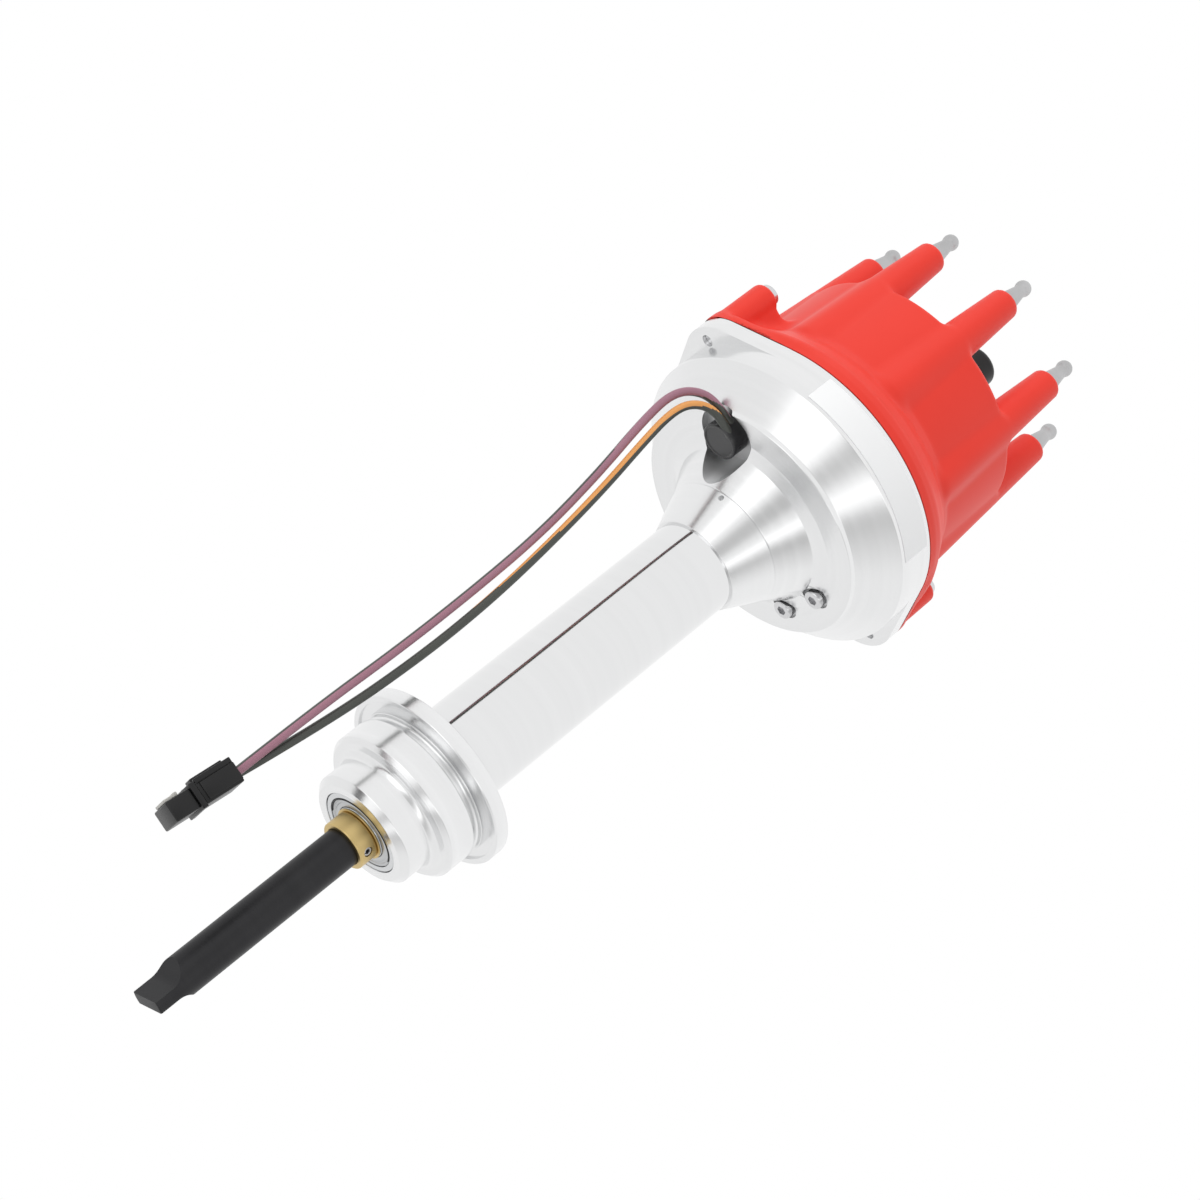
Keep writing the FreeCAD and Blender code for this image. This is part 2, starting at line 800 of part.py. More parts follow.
def make_bowl():
    """The turned bowl: ears, the grommet's pocket, the pickup's screw holes and the upper bearing's boss."""
    seat_bore = bearing_radius + fit_gap
    spigot_bore = spigot_radius + fit_gap
    spigot_shelf = neck_top + spigot_length + seat_gap
    cone_top = plateau_height - plateau_fillet
    inner_radius = rim_radius - bowl_wall
    side_start = plateau_radius + edge_break
    body = turned("bowl_housing", [
        (neck_radius, neck_top), (bowl_cone_radius, cone_top),
        (bowl_cone_radius + plateau_fillet, plateau_height, plateau_fillet, -1),
        (plateau_radius, plateau_height), (side_start, plateau_height + ledge_height),
        (rim_radius - rim_chamfer, rim_bottom - rim_chamfer), (rim_radius, rim_bottom),
        (rim_radius, rim_top),
        (inner_radius, rim_top), (inner_radius, bowl_floor + inner_radius - side_start),
        (side_start, bowl_floor), (boss_radius, bowl_floor), (boss_radius, upper_bearing_top),
        (seat_bore, upper_bearing_top), (seat_bore, upper_bearing_bottom - seat_gap),
        (tube_bore, upper_bearing_bottom - seat_gap), (tube_bore, spigot_shelf),
        (spigot_bore, spigot_shelf), (spigot_bore, neck_top)])
    ear = pad(body, ear_outline(ear_reach, ear_radius, rim_radius), ear_bottom, ear_height)
    repeat(body, ear, 2)
    ear_hole = drill(body, screw_hole_radius, ear_bottom, rim_top, ear_reach)
    repeat(body, ear_hole, 2)
    x, y = polar(grommet_reach, grommet_angle)
    drill(body, pocket_radius, neck_bottom, pocket_floor, x, y)
    drill(body, grommet_neck + seat_gap, plateau_height, bowl_floor, x, y)
    for side in (-1, 1):
        x, y = polar(pickup_reach, pickup_angle + pickup_spread * side)
        drill(body, spotface_radius, neck_top, plateau_height + spotface_depth, x, y)
        drill(body, screw_hole_radius, plateau_height, bowl_floor, x, y)
    return body


def make_grommet():
    """A rubber grommet: a round head below the floor, a neck through it, and a lip inside the bowl."""
    neck_end = bowl_floor + seat_gap
    head_top = pocket_floor - seat_gap
    grommet_bottom = head_top - grommet_head
    grommet = turned("wire_grommet", [
        (0, grommet_bottom), (grommet_radius - grommet_round, grommet_bottom),
        (grommet_radius, grommet_bottom + grommet_round, grommet_round, 1), (grommet_radius, head_top),
        (grommet_neck, head_top), (grommet_neck, neck_end), (grommet_radius, neck_end),
        (grommet_radius - edge_break, neck_end + grommet_lip), (0, neck_end + grommet_lip)])
    x, y = polar(grommet_reach, grommet_angle)
    place(grommet, x, y)


# Pickup inside the bowl

def socket_screw(reach, angle, seat, length):
    """A socket-head screw that points up, with its head below the seat."""
    x, y = polar(reach, angle)
    head = primitive("Cylinder", {"Radius": screw_head_radius, "Height": screw_head_height},
                     x, y, seat - screw_head_height)
    shank = primitive("Cylinder", {"Radius": screw_radius, "Height": length}, x, y, seat)
    socket = primitive("Prism", {"Circumradius": screw_socket, "Height": screw_head_height / 2},
                       x, y, seat - screw_head_height)
    socket.Polygon = 6
    return combine("Cut", (combine("Fuse", (head, shank)), socket))


def make_pickup():
    """The magnetic pickup: a moulded base, a coil about a pole that faces the paddles, and a magnet."""
    base_bottom = bowl_floor + seat_gap
    base_top = base_bottom + pickup_base_height
    magnet_start = coil_start + coil_length + seat_gap
    end_angle = pickup_spread + pickup_end_angle
    inner = pickup_reach - pickup_width / 2
    outer = pickup_reach + pickup_width / 2
    base = new_body("pickup_base")
    pad(base, [(inner * cosine(end_angle), inner * sine(end_angle) * -1, inner, -1),
               (outer * cosine(end_angle), outer * sine(end_angle) * -1),
               (outer * cosine(end_angle), outer * sine(end_angle), outer, 1),
               (inner * cosine(end_angle), inner * sine(end_angle))],
        base_bottom, pickup_base_height)
    cradle = {"Length": magnet_start + magnet_length - coil_start, "Width": coil_radius * 2,
              "Height": pole_height - coil_radius - seat_gap - base_top + edge_break}
    solid_in(base, "AdditiveBox", cradle, coil_start, -coil_radius, base_top - edge_break)
    for side in (-1, 1):
        x, y = polar(pickup_reach, pickup_spread * side)
        drill(base, screw_radius + fit_gap, base_bottom, base_top, x, y)
    place(base, turn=pickup_angle)
    pole = primitive("Box", {"Length": magnet_start - pole_start - seat_gap, "Width": pole_thickness,
                             "Height": pole_thickness})
    magnet = primitive("Box", {"Length": magnet_length, "Width": coil_radius * 2, "Height": coil_radius * 2})
    wound = primitive("Cylinder", {"Radius": coil_radius, "Height": coil_length})
    lie_across(wound, pickup_angle, coil_start, pole_height)
    opening = primitive("Box", {"Length": coil_length * 2, "Width": pole_thickness + seat_gap,
                                "Height": pole_thickness + seat_gap})
    for item, start, width in ((pole, pole_start, pole_thickness), (magnet, magnet_start, coil_radius * 2),
                               (opening, coil_start - coil_length / 2, pole_thickness + seat_gap)):
        x, y = radial_spot(start, width, pickup_angle)
        place(item, x, y, pole_height - width / 2, pickup_angle)
    keep(pole, "pickup_pole")
    keep(magnet, "pickup_magnet")
    keep(combine("Cut", (wound, opening)), "pickup_coil")
    seat = plateau_height + spotface_depth
    screws = [socket_screw(pickup_reach, pickup_angle + pickup_spread * side, seat, screw_length)
              for side in (-1, 1)]
    keep(combine("Compound", screws), "pickup_screws")


# Advance mechanism

def make_sleeve_group():
    """The sleeve that turns on the shaft, with the paddle wheel on it and the washer under it."""
    bore = shaft_radius + fit_gap
    turned("upper_thrust_washer", [
        (bore, upper_washer_bottom), (washer_radius, upper_washer_bottom),
        (washer_radius, upper_washer_bottom + upper_washer_thickness),
        (bore, upper_washer_bottom + upper_washer_thickness)])
    turned("advance_sleeve", [
        (bore, sleeve_bottom), (sleeve_radius, sleeve_bottom), (sleeve_radius, plate_bottom - seat_gap),
        (bore, plate_bottom - seat_gap)])
    hub_bore = sleeve_radius + fit_gap
    wheel = turned("reluctor", [
        (hub_bore, reluctor_bottom), (reluctor_hub_radius - edge_break, reluctor_bottom),
        (reluctor_hub_radius, reluctor_bottom + edge_break),
        (reluctor_hub_radius, reluctor_bottom + reluctor_height - edge_break),
        (reluctor_hub_radius - edge_break, reluctor_bottom + reluctor_height),
        (hub_bore, reluctor_bottom + reluctor_height)])
    root_reach = (hub_bore + reluctor_hub_radius) / 2
    paddle = solid_in(wheel, "AdditiveBox", {"Length": paddle_reach - root_reach, "Width": paddle_thickness,
                                             "Height": reluctor_height},
                      root_reach, paddle_thickness / -2, reluctor_bottom)
    repeat(wheel, paddle, paddle_count)


def make_weight_plate():
    """The plate that carries the weights: a round middle with two arms, each with a post for the rotor."""
    arm = arm_radius
    plate = new_body("advance_weight_plate")
    bore = shaft_radius + fit_gap
    revolve(plate, [(bore, plate_bottom), (plate_waist, plate_bottom), (plate_waist, plate_top),
                    (bore, plate_top)])
    start = plate_waist - arm * 2
    shape = pad(plate, [(arm, start), (arm, post_reach), (0, post_reach + arm, arm, 1),
                        (arm * -1, post_reach, arm, 1), (arm * -1, start)], plate_bottom, plate_thickness)
    repeat(plate, shape, 2)
    post = solid_in(plate, "AdditiveCylinder", {"Radius": post_radius, "Height": post_height + edge_break},
                    0, post_reach, plate_top - edge_break)
    repeat(plate, post, 2)
    tapped = solid_in(plate, "SubtractiveCylinder",
                      {"Radius": screw_radius + fit_gap, "Height": post_height + plate_thickness},
                      0, post_reach, plate_bottom)
    repeat(plate, tapped, 2)
    pins = []
    for half in (0, 180):
        x, y = polar(pivot_reach, pivot_angle + half)
        drill(plate, pivot_radius + fit_gap, plate_bottom, plate_top, x, y)
        pin_length = spring_height + pivot_tip - plate_bottom
        shank = primitive("Cylinder", {"Radius": pivot_radius, "Height": pin_length}, x, y, plate_bottom)
        groove = primitive("Torus", {"Radius1": pivot_radius, "Radius2": spring_wire / 2},
                           x, y, spring_height)
        pins.append(combine("Cut", (shank, groove)))
    keep(combine("Compound", pins), "weight_pivot_pins")


def make_weight(index):
    """A curved fly-weight round half of the cam: its near end is a round eye about the pivot pin."""
    inner, outer = weight_inner_radius, weight_outer_radius
    thick = (outer - inner) / 2
    half = (pivot_angle + weight_end_angle) / 2
    last = weight_end_angle
    bevel = weight_end_angle + weight_bevel_angle
    pivot_x, pivot_y = polar(pivot_reach, pivot_angle)
    low_x, low_y = polar(thick, pivot_angle - 90)
    body = padded(f"advance_weight_{index + 1}", [
        polar(outer, pivot_angle) + (thick, 1), polar(outer, half) + (outer, 1),
        polar(outer, last) + (outer, 1),
        polar(pivot_reach + weight_nose_width / 2, bevel), polar(pivot_reach - weight_nose_width / 2, bevel),
        polar(inner, last), polar(inner, half) + (inner, -1), polar(inner, pivot_angle) + (inner, -1),
        (pivot_x + low_x, pivot_y + low_y, thick, 1)], weight_bottom, weight_thickness)
    drill(body, pivot_radius + fit_gap, weight_bottom, weight_top, pivot_x, pivot_y)
    place(body, turn=180 * index)


def make_cam_group():
    """The oblong cam on the shaft's head, with a spring pin at each end, and the clip that holds it."""
    bore = shaft_top_radius + fit_gap
    cam = new_body("advance_cam")
    flat = cam_width
    reach = root(cam_length * cam_length - flat * flat)
    pad(cam, [(reach, flat * -1), (reach, flat, cam_length, 1), (reach * -1, flat),
              (reach * -1, flat * -1, cam_length, 1)], cam_bottom, weight_thickness)
    pin = solid_in(cam, "AdditiveCylinder",
                   {"Radius": cam_pin_radius, "Height": spring_height + spring_radius - cam_top + edge_break},
                   cam_pin_reach, 0, cam_top - edge_break)
    repeat(cam, pin, 2)
    drill(cam, bore, cam_bottom, cam_top)
    turned("cam_clip", [
        (bore, clip_bottom), (clip_radius, clip_bottom), (clip_radius, clip_bottom + clip_thickness),
        (bore, clip_bottom + clip_thickness)])


def make_advance_spring(index):
    """A close-wound spring from a pivot pin to the cam's pin, with an eye at each end."""
    side = 1 - 2 * index
    pin_x, pin_y = (number(size) * side for size in polar(pivot_reach, pivot_angle))
    start = Vector(pin_x, pin_y, number(spring_height))
    end = Vector(number(cam_pin_reach) * side, 0, number(spring_height))
    aim = (end - start).normalize()
    across = Vector(0, 0, 1)
    wire = number(spring_wire)
    eye_radii = [number(pin) + wire / 2 + number(fit_gap) for pin in (pivot_radius, cam_pin_radius)]
    turns = int(number(spring_turns))
    free_length = (end - start).Length - sum(eye_radii)
    coil_start = start + aim * (eye_radii[0] + (free_length - turns * wire) / 2)
    ridges = [(coil_start, 0), (coil_start, number(spring_radius) - wire)]
    for turn in range(turns):
        ridges.append((coil_start + aim * (wire * (turn + 0.5)), number(spring_radius)))
        ridges.append((coil_start + aim * (wire * (turn + 1)), number(spring_radius) - wire))
    ridges.append((coil_start + aim * (wire * turns), 0))
    outline = [spot + across * out for spot, out in ridges]
    coil = Part.Face(Part.makePolygon(outline + outline[:1])).revolve(coil_start, aim, 360)
    eyes = [Part.makeTorus(radius, wire / 2, spot, across) for radius, spot in zip(eye_radii, (start, end))]
    leg = Part.makeCylinder(wire / 2, free_length, start + aim * eye_radii[0], aim)
    spring = document.addObject("Part::Feature", "Spring")
    spring.Shape = coil.multiFuse(eyes + [leg])
    keep(spring, f"advance_spring_{index + 1}")


# Rotor

def make_rotor():
    """The moulded rotor: a broad foot on the plate's posts, a hollow cone, and an arm for the blade."""
    body = new_body("rotor_body")
    foot_top = rotor_bottom + rotor_base_height
    neck_foot = rotor_top - rotor_neck_height
    wall = rotor_wall
    revolve(body, [
        (rotor_waist_radius - wall, rotor_bottom), (rotor_base_radius, rotor_bottom),
        (rotor_base_radius, foot_top - edge_break), (rotor_base_radius - edge_break, foot_top),
        (rotor_waist_radius + wall, foot_top), (rotor_waist_radius, foot_top + wall, wall, -1),
        (rotor_neck_radius, neck_foot), (rotor_neck_radius, rotor_top), (0, rotor_top),
        (0, neck_foot - wall), (rotor_neck_radius - wall, neck_foot - wall),
        (rotor_waist_radius - wall, foot_top)])
    x, y = radial_spot(0, rotor_arm_width, tower_angle)
    solid_in(body, "AdditiveBox", {"Length": blade_end - blade_overhang, "Width": rotor_arm_width,
                                   "Height": rotor_arm_thickness},
             x, y, rotor_top - rotor_arm_thickness, tower_angle)
    x, y = radial_spot(rotor_neck_radius - wall, wall, tower_angle)
    solid_in(body, "AdditiveBox", {"Length": rotor_base_radius - rotor_neck_radius - wall, "Width": wall,
                                   "Height": rotor_top - wall - foot_top},
             x, y, foot_top - edge_break, tower_angle)
    revolve(body, [
        (0, rotor_bottom - wall), (rotor_waist_radius - wall, rotor_bottom - wall),
        (rotor_waist_radius - wall, foot_top), (rotor_neck_radius - wall, neck_foot - wall),
        (0, neck_foot - wall)], "PartDesign::Groove")
    hole = solid_in(body, "SubtractiveCylinder",
                    {"Radius": screw_radius + seat_gap, "Height": rotor_base_height * 2},
                    0, post_reach, rotor_bottom - rotor_base_height / 2)
    repeat(body, hole, 2)
    blade = new_body("rotor_blade")
    solid_in(blade, "AdditiveBox", {"Length": blade_end + contact_radius, "Width": blade_width,
                                    "Height": blade_thickness},
             -contact_radius, blade_width / -2, rotor_top)
    solid_in(blade, "AdditiveCylinder",
             {"Radius": contact_radius, "Height": contact_height + blade_thickness}, z=rotor_top)
    place(blade, turn=tower_angle)
    screws = []
    for side in (-1, 1):
        screw = primitive("Cylinder", {"Radius": screw_radius, "Height": screw_length + rotor_base_height},
                          0, post_reach * side, foot_top - rotor_base_height - screw_length)
        head = primitive("Cylinder", {"Radius": screw_head_radius, "Height": rotor_screw_head},
                         0, post_reach * side, foot_top)
        screws.append(combine("Fuse", (screw, head)))
    keep(combine("Compound", screws), "rotor_screws")


# Cap

def cap_wall_corners():
    """The cap's outside, from its register lip up over the flare to the roof."""
    lip_radius = rim_radius - bowl_wall - seat_gap
    return [
        (0, rim_top - cap_lip), (lip_radius, rim_top - cap_lip), (lip_radius, rim_top), (cap_radius, rim_top),
        (cap_radius, cap_flange_top - edge_break), (cap_radius - edge_break, cap_flange_top),
        (cap_shoulder_radius, cap_shoulder_height), (cap_body_radius, cap_body_bottom),
        (cap_top_radius, cap_top - cap_top_round),
        (cap_top_radius - cap_top_round, cap_top, cap_top_round, 1), (0, cap_top)]


def make_cap():
    """The moulded cap: a flared shell with eight tapered towers, two screw ears and a coil tower."""
    body = new_body("cap_shell")
    revolve(body, cap_wall_corners())
    slope = (tower_foot_radius - tower_top_radius) / (tower_top - tower_foot)
    round_bottom = tower_foot + tower_foot_round
    shoulder = tower_top - tower_round
    tower = revolve(body, [
        (0, tower_foot), (tower_foot_radius - tower_foot_round, tower_foot),
        (tower_foot_radius, round_bottom, tower_foot_round, 1),
        (tower_top_radius + slope * tower_round, shoulder),
        (tower_top_radius + slope * tower_round - tower_round, tower_top, tower_round, 1),
        (0, tower_top)], away=tower_reach)
    repeat(body, tower, tower_count)
    for half in (0, 180):
        turn = half - tower_angle
        pad(body, ear_outline(ear_reach, ear_radius, cap_radius), rim_top, cap_ear_plate, turn)
        x, y = polar(ear_reach, turn)
        boss_height = cap_ear_top - rim_top
        solid_in(body, "AdditiveCylinder", {"Radius": ear_radius, "Height": boss_height}, x, y, rim_top)
        start = cap_body_radius - cap_wall
        x, y = radial_spot(start, cap_web_width, turn)
        solid_in(body, "AdditiveBox",
                 {"Length": ear_reach - start, "Width": cap_web_width, "Height": boss_height - cap_web_drop},
                 x, y, rim_top, turn)
    x, y = polar(coil_tower_offset, coil_tower_angle - tower_angle)
    solid_in(body, "AdditiveCylinder", {"Radius": coil_tower_radius, "Height": coil_tower_top - roof_bottom},
             x, y, roof_bottom)
    solid_in(body, "AdditiveCylinder", {"Radius": coil_neck_radius, "Height": coil_neck_top - roof_bottom},
             x, y, roof_bottom)
    lip_inside = rim_radius - bowl_wall - seat_gap - cap_lip_wall
    revolve(body, [
        (0, rim_top - cap_lip * 2), (lip_inside, rim_top - cap_lip * 2), (lip_inside, cap_flange_top),
        (cap_body_radius - cap_wall, cap_body_bottom), (cap_top_radius - cap_wall, roof_bottom),
        (0, roof_bottom)], "PartDesign::Groove")
    drill(body, stud_radius + fit_gap, roof_bottom - seat_gap, coil_neck_top, x, y)
    for half in (0, 180):
        x, y = polar(ear_reach, half - tower_angle)
        drill(body, screw_hole_radius, rim_top, cap_ear_top, x, y)
    hole = drill(body, stud_radius + fit_gap, roof_bottom - seat_gap, tower_top, tower_reach)
    repeat(body, hole, tower_count)
    place(body, turn=tower_angle)


def make_terminals():
    """Eight plug-lead studs: a contact inside the cap, a stem through the tower and a ball on its tip."""
    head_top = roof_bottom - seat_gap
    ball_foot = root(stud_ball_radius * stud_ball_radius - stud_radius * stud_radius)
    corners = [
        (0, contact_bottom), (stud_head_radius, contact_bottom), (stud_head_radius, head_top),
        (stud_radius, head_top), (stud_radius, stud_ball_height - ball_foot),
        (stud_ball_radius, stud_ball_height, stud_ball_radius, 1),
        (0, stud_ball_height + stud_ball_radius, stud_ball_radius, 1)]
    for index in range(int(tower_count.value)):
        stud = turned(f"spark_terminal_{index + 1}", corners)
        x, y = polar(tower_reach, tower_angle + index * 360 / tower_count)
        place(stud, x, y)


def make_coil_terminal():
    """The centre stud and its bar to the brush's guide, the brush, its spring, and the black cover above."""
    x, y = polar(coil_tower_offset, coil_tower_angle)
    guide_radius = brush_radius + fit_gap + brush_guide_wall
    top = roof_bottom - seat_gap
    guide_bottom = brush_bottom + brush_travel
    guide_roof_height = top - brush_guide_roof
    bar_bottom = top - brush_bar_thickness
    stem = primitive("Cylinder", {"Radius": stud_radius, "Height": cover_cavity_top - bar_bottom},
                     x, y, bar_bottom)
    bar = primitive("Box", {"Length": coil_tower_offset, "Width": stud_radius * 2,
                            "Height": brush_bar_thickness},
                    stud_radius * sine(coil_tower_angle), stud_radius * cosine(coil_tower_angle) * -1,
                    bar_bottom, coil_tower_angle)
    guide = primitive("Cylinder", {"Radius": guide_radius, "Height": top - guide_bottom}, z=guide_bottom)
    metal = combine("Fuse", (combine("Fuse", (stem, bar)), guide))
    bore = primitive("Cylinder",
                     {"Radius": brush_radius + fit_gap, "Height": guide_roof_height - guide_bottom},
                     z=guide_bottom)
    keep(combine("Cut", (metal, bore)), "coil_terminal")
    brush_top = brush_bottom + brush_length
    turned("carbon_brush", [
        (0, brush_bottom), (brush_radius - brush_chamfer, brush_bottom),
        (brush_radius, brush_bottom + brush_chamfer), (brush_radius, brush_top), (0, brush_top)])
    make_brush_spring(brush_top + seat_gap, guide_roof_height - seat_gap)
    cover_bottom = coil_tower_top + seat_gap
    cavity_radius = coil_neck_radius + seat_gap
    cover = turned("coil_terminal_cover", [
        (cavity_radius, cover_bottom), (cover_radius, cover_bottom), (cover_radius, cover_top - cover_round),
        (cover_radius - cover_round, cover_top, cover_round, 1), (0, cover_top), (0, cover_cavity_top),
        (cavity_radius, cover_cavity_top)])
    place(cover, x, y)


def make_brush_spring(bottom, top):
    """The small coil spring that presses the brush on the rotor."""
    wire = number(spring_wire) / 2
    height = number(top) - number(bottom) - wire * 2
    pitch = height / int(number(brush_spring_turns))
    line = Part.makeHelix(pitch, height, number(brush_radius) - wire * 2)
    line.translate(Vector(0, 0, number(bottom) + wire))
    start = line.Edges[0].valueAt(line.Edges[0].FirstParameter)
    section = Part.Wire([Part.makeCircle(wire, start, Vector(0, 1, 0))])
    spring = document.addObject("Part::Feature", "Brush_spring")
    spring.Shape = Part.Wire(line.Edges).makePipeShell([section], True, True)
    keep(spring, "brush_spring")


def make_cap_screws():
    """The two long screws that hold the cap's ears to the bowl's."""
    for name, side in (("cap_screw_right", 1), ("cap_screw_left", -1)):
        reach = ear_reach * side
        head_bottom = cap_ear_top + seat_gap
        shank_bottom = ear_bottom + cap_screw_short
        shank = primitive("Cylinder", {"Radius": screw_radius, "Height": head_bottom - shank_bottom},
                          reach, 0, shank_bottom)
        head = primitive("Cylinder", {"Radius": cap_screw_head_radius, "Height": cap_screw_head_height},
                         reach, 0, head_bottom)
        socket = primitive("Prism", {"Circumradius": screw_socket, "Height": cap_screw_head_height / 2},
                           reach, 0, head_bottom + cap_screw_head_height / 2)
        socket.Polygon = 6
        keep(combine("Cut", (combine("Fuse", (shank, head)), socket)), name)


# Wires: the routes are points chosen by hand

VIOLET_ROUTE = [
    (-32.3, -17.0, 147.8), (-38.5, -16.8, 147.9), (-47.3, -14.5, 146.7), (-52.9, -12.4, 138.2),
    (-51.2, -11.9, 123.0), (-46.4, -12.1, 99.0), (-42.4, -12.5, 70.0), (-41.0, -12.6, 40.0),
    (-40.5, -12.4, 10.0), (-41.2, -12.3, -23.0), (-40.9, -13.1, -55.5)]

ORANGE_ROUTE = [
    (-31.6, -17.7, 144.8), (-37.2, -17.9, 145.0), (-43.4, -16.7, 143.8), (-47.6, -15.2, 138.6),
    (-48.3, -14.5, 131.0), (-46.3, -14.1, 118.5), (-42.2, -14.1, 97.0), (-38.6, -14.4, 70.0),
    (-35.9, -14.3, 42.0), (-34.9, -13.3, 13.0), (-36.1, -11.6, -22.0), (-39.6, -8.8, -55.5)]


def wire_path(points):
    """Straight runs joined by tangent arcs, each as large as its two runs allow."""
    corners = [Vector(*point) for point in points]
    edges = []
    radii = []
    last = corners[0]
    for before, corner, after in zip(corners, corners[1:], corners[2:]):
        back, ahead = (before - corner).normalize(), (after - corner).normalize()
        reach = 0.45 * min((before - corner).Length, (after - corner).Length)
        half_turn = (math.pi - back.getAngle(ahead)) / 2
        radius = reach / math.tan(half_turn)
        start, end = corner + back * reach, corner + ahead * reach
        inward = (back + ahead).normalize()
        middle = corner + inward * (radius / math.cos(half_turn) - radius)
        edges.append(Part.LineSegment(last, start).toShape())
        edges.append(Part.Arc(start, middle, end).toShape())
        radii.append(round(radius, 1))
        last = end
    edges.append(Part.LineSegment(last, corners[-1]).toShape())
    return Part.Wire(edges), radii


def make_wire(label, points):
    path, radii = wire_path(points)
    start = path.OrderedEdges[0]
    section = Part.Wire([Part.makeCircle(number(wire_radius), Vector(*points[0]), start.tangentAt(0))])
    wire = document.addObject("Part::Feature", "Wire")
    wire.Shape = path.makePipeShell([section], True, False)
    keep(wire, label)
    expected = math.pi * number(wire_radius) ** 2 * path.Length
    print(label, "length", round(path.Length, 1), "volume ratio", round(wire.Shape.Volume / expected, 4),
          "radii", radii)


# Plug

def plug_place(item):
    """Moves a piece of the plug from its own upright frame to the end of the wires."""
    lean = Rotation(Vector(0, 0, 1), number(plug_turn)) * Rotation(Vector(0, 1, 0), number(plug_lean))
    item.Placement = Placement(Vector(PLUG_SPOT[0], PLUG_SPOT[1], number(plug_top)), lean)
    bind(item, "Placement.Base.z", plug_top)


PLUG_SPOT = (-40.3, -10.9)


def centred_box(body, form, width, thickness, bottom, height, shift=0, across=0):
    """A box of the plug, centred on the wires and then shifted towards +X or +Y."""
    solid_in(body, form, {"Length": thickness, "Width": width, "Height": height},
             thickness / -2 + shift, width / -2 + across, bottom)


def make_plug():
    """The two-way plug: a moulded shell with a latch and a collar, a lock at its front, and two contacts."""
    rear_bottom = -plug_rear_length
    collar_end = rear_bottom - plug_collar_length
    front_end = collar_end - plug_front_length
    shell = new_body("connector_shell")
    centred_box(shell, "AdditiveBox", plug_width, plug_thickness, rear_bottom, plug_rear_length)
    centred_box(shell, "AdditiveBox", plug_width + plug_collar_step * 2,
                plug_thickness + plug_collar_step * 2, collar_end, plug_collar_length)
    centred_box(shell, "AdditiveBox", plug_width - plug_collar_step, plug_thickness - plug_collar_step,
                front_end, plug_front_length)
    latch_middle = plug_thickness / 2 + latch_gap + latch_thickness / 2
    centred_box(shell, "AdditiveBox", latch_width, latch_thickness, -latch_length, latch_length - latch_drop,
                -latch_middle)
    centred_box(shell, "AdditiveBox", latch_width, latch_gap * 4, -latch_length, latch_root_length,
                plug_thickness / -2)
    guard_length = plug_rear_length - guard_rib_drop
    side_length = plug_rear_length - side_rib_drop
    for side in (-1, 1):
        guard_middle = (plug_width - guard_rib_width) / 2 * side
        solid_in(shell, "AdditiveBox",
                 {"Length": guard_rib_height * 2, "Width": guard_rib_width, "Height": guard_length},
                 plug_thickness / -2 - guard_rib_height, guard_middle - guard_rib_width / 2, -guard_length)
        centred_box(shell, "AdditiveBox", side_rib_height * 2, side_rib_width, -side_length, side_length,
                    across=plug_width / 2 * side)
    pins = []
    for side in (-1, 1):
        y = plug_pitch / 2 * side
        solid_in(shell, "SubtractiveCylinder", {"Radius": plug_hole_radius, "Height": plug_front_length},
                 0, y, front_end)
        pins.append(primitive("Cylinder",
                              {"Radius": plug_pin_radius, "Height": plug_front_length - plug_pin_sink},
                              0, y, front_end + plug_pin_sink))
    plug_place(shell)
    contacts = combine("Compound", pins)
    plug_place(contacts)
    keep(contacts, "connector_pins")
    lock = primitive("Box", {"Length": lock_thickness, "Width": lock_width, "Height": lock_length})
    inner_face = (plug_thickness - plug_collar_step) / -2 - seat_gap / 2
    place(lock, inner_face - lock_thickness, lock_width / -2, front_end + lock_rise)
    holder = combine("Compound", [lock])
    plug_place(holder)
    keep(holder, "connector_lock")


# The whole assembly

make_drive_shaft()
make_collar_group()
make_bearing("lower", lower_bearing_bottom)
make_bearing("upper", upper_bearing_bottom)
make_column()
make_bowl()
make_grommet()
make_pickup()
make_sleeve_group()
make_weight_plate()
for weight_index in range(2):
    make_weight(weight_index)
make_cam_group()
for spring_index in range(2):
    make_advance_spring(spring_index)
make_rotor()
make_cap()
make_terminals()
make_coil_terminal()
make_cap_screws()
make_wire("wire_violet", VIOLET_ROUTE)
make_wire("wire_orange", ORANGE_ROUTE)
make_plug()

document.recompute()

faults = [f"{item.Label}: {item.State}" for item in document.Objects
          if "Invalid" in item.State or "Error" in item.State]
for item in sub_parts:
    if item.Shape.isNull() or not item.Shape.isValid() or not item.Shape.Solids:
        faults.append(f"{item.Label}: no valid solid")
if faults:
    raise RuntimeError("; ".join(faults))

os.makedirs("parts", exist_ok=True)
for item in sub_parts:
    item.Shape.exportStep(f"parts/{item.Label}.step")
print(len(sub_parts), "sub-parts,", sum(len(item.Shape.Solids) for item in sub_parts), "solids")
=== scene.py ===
import json
import math

import bmesh
import bpy
import numpy as np
from mathutils import Matrix, Vector


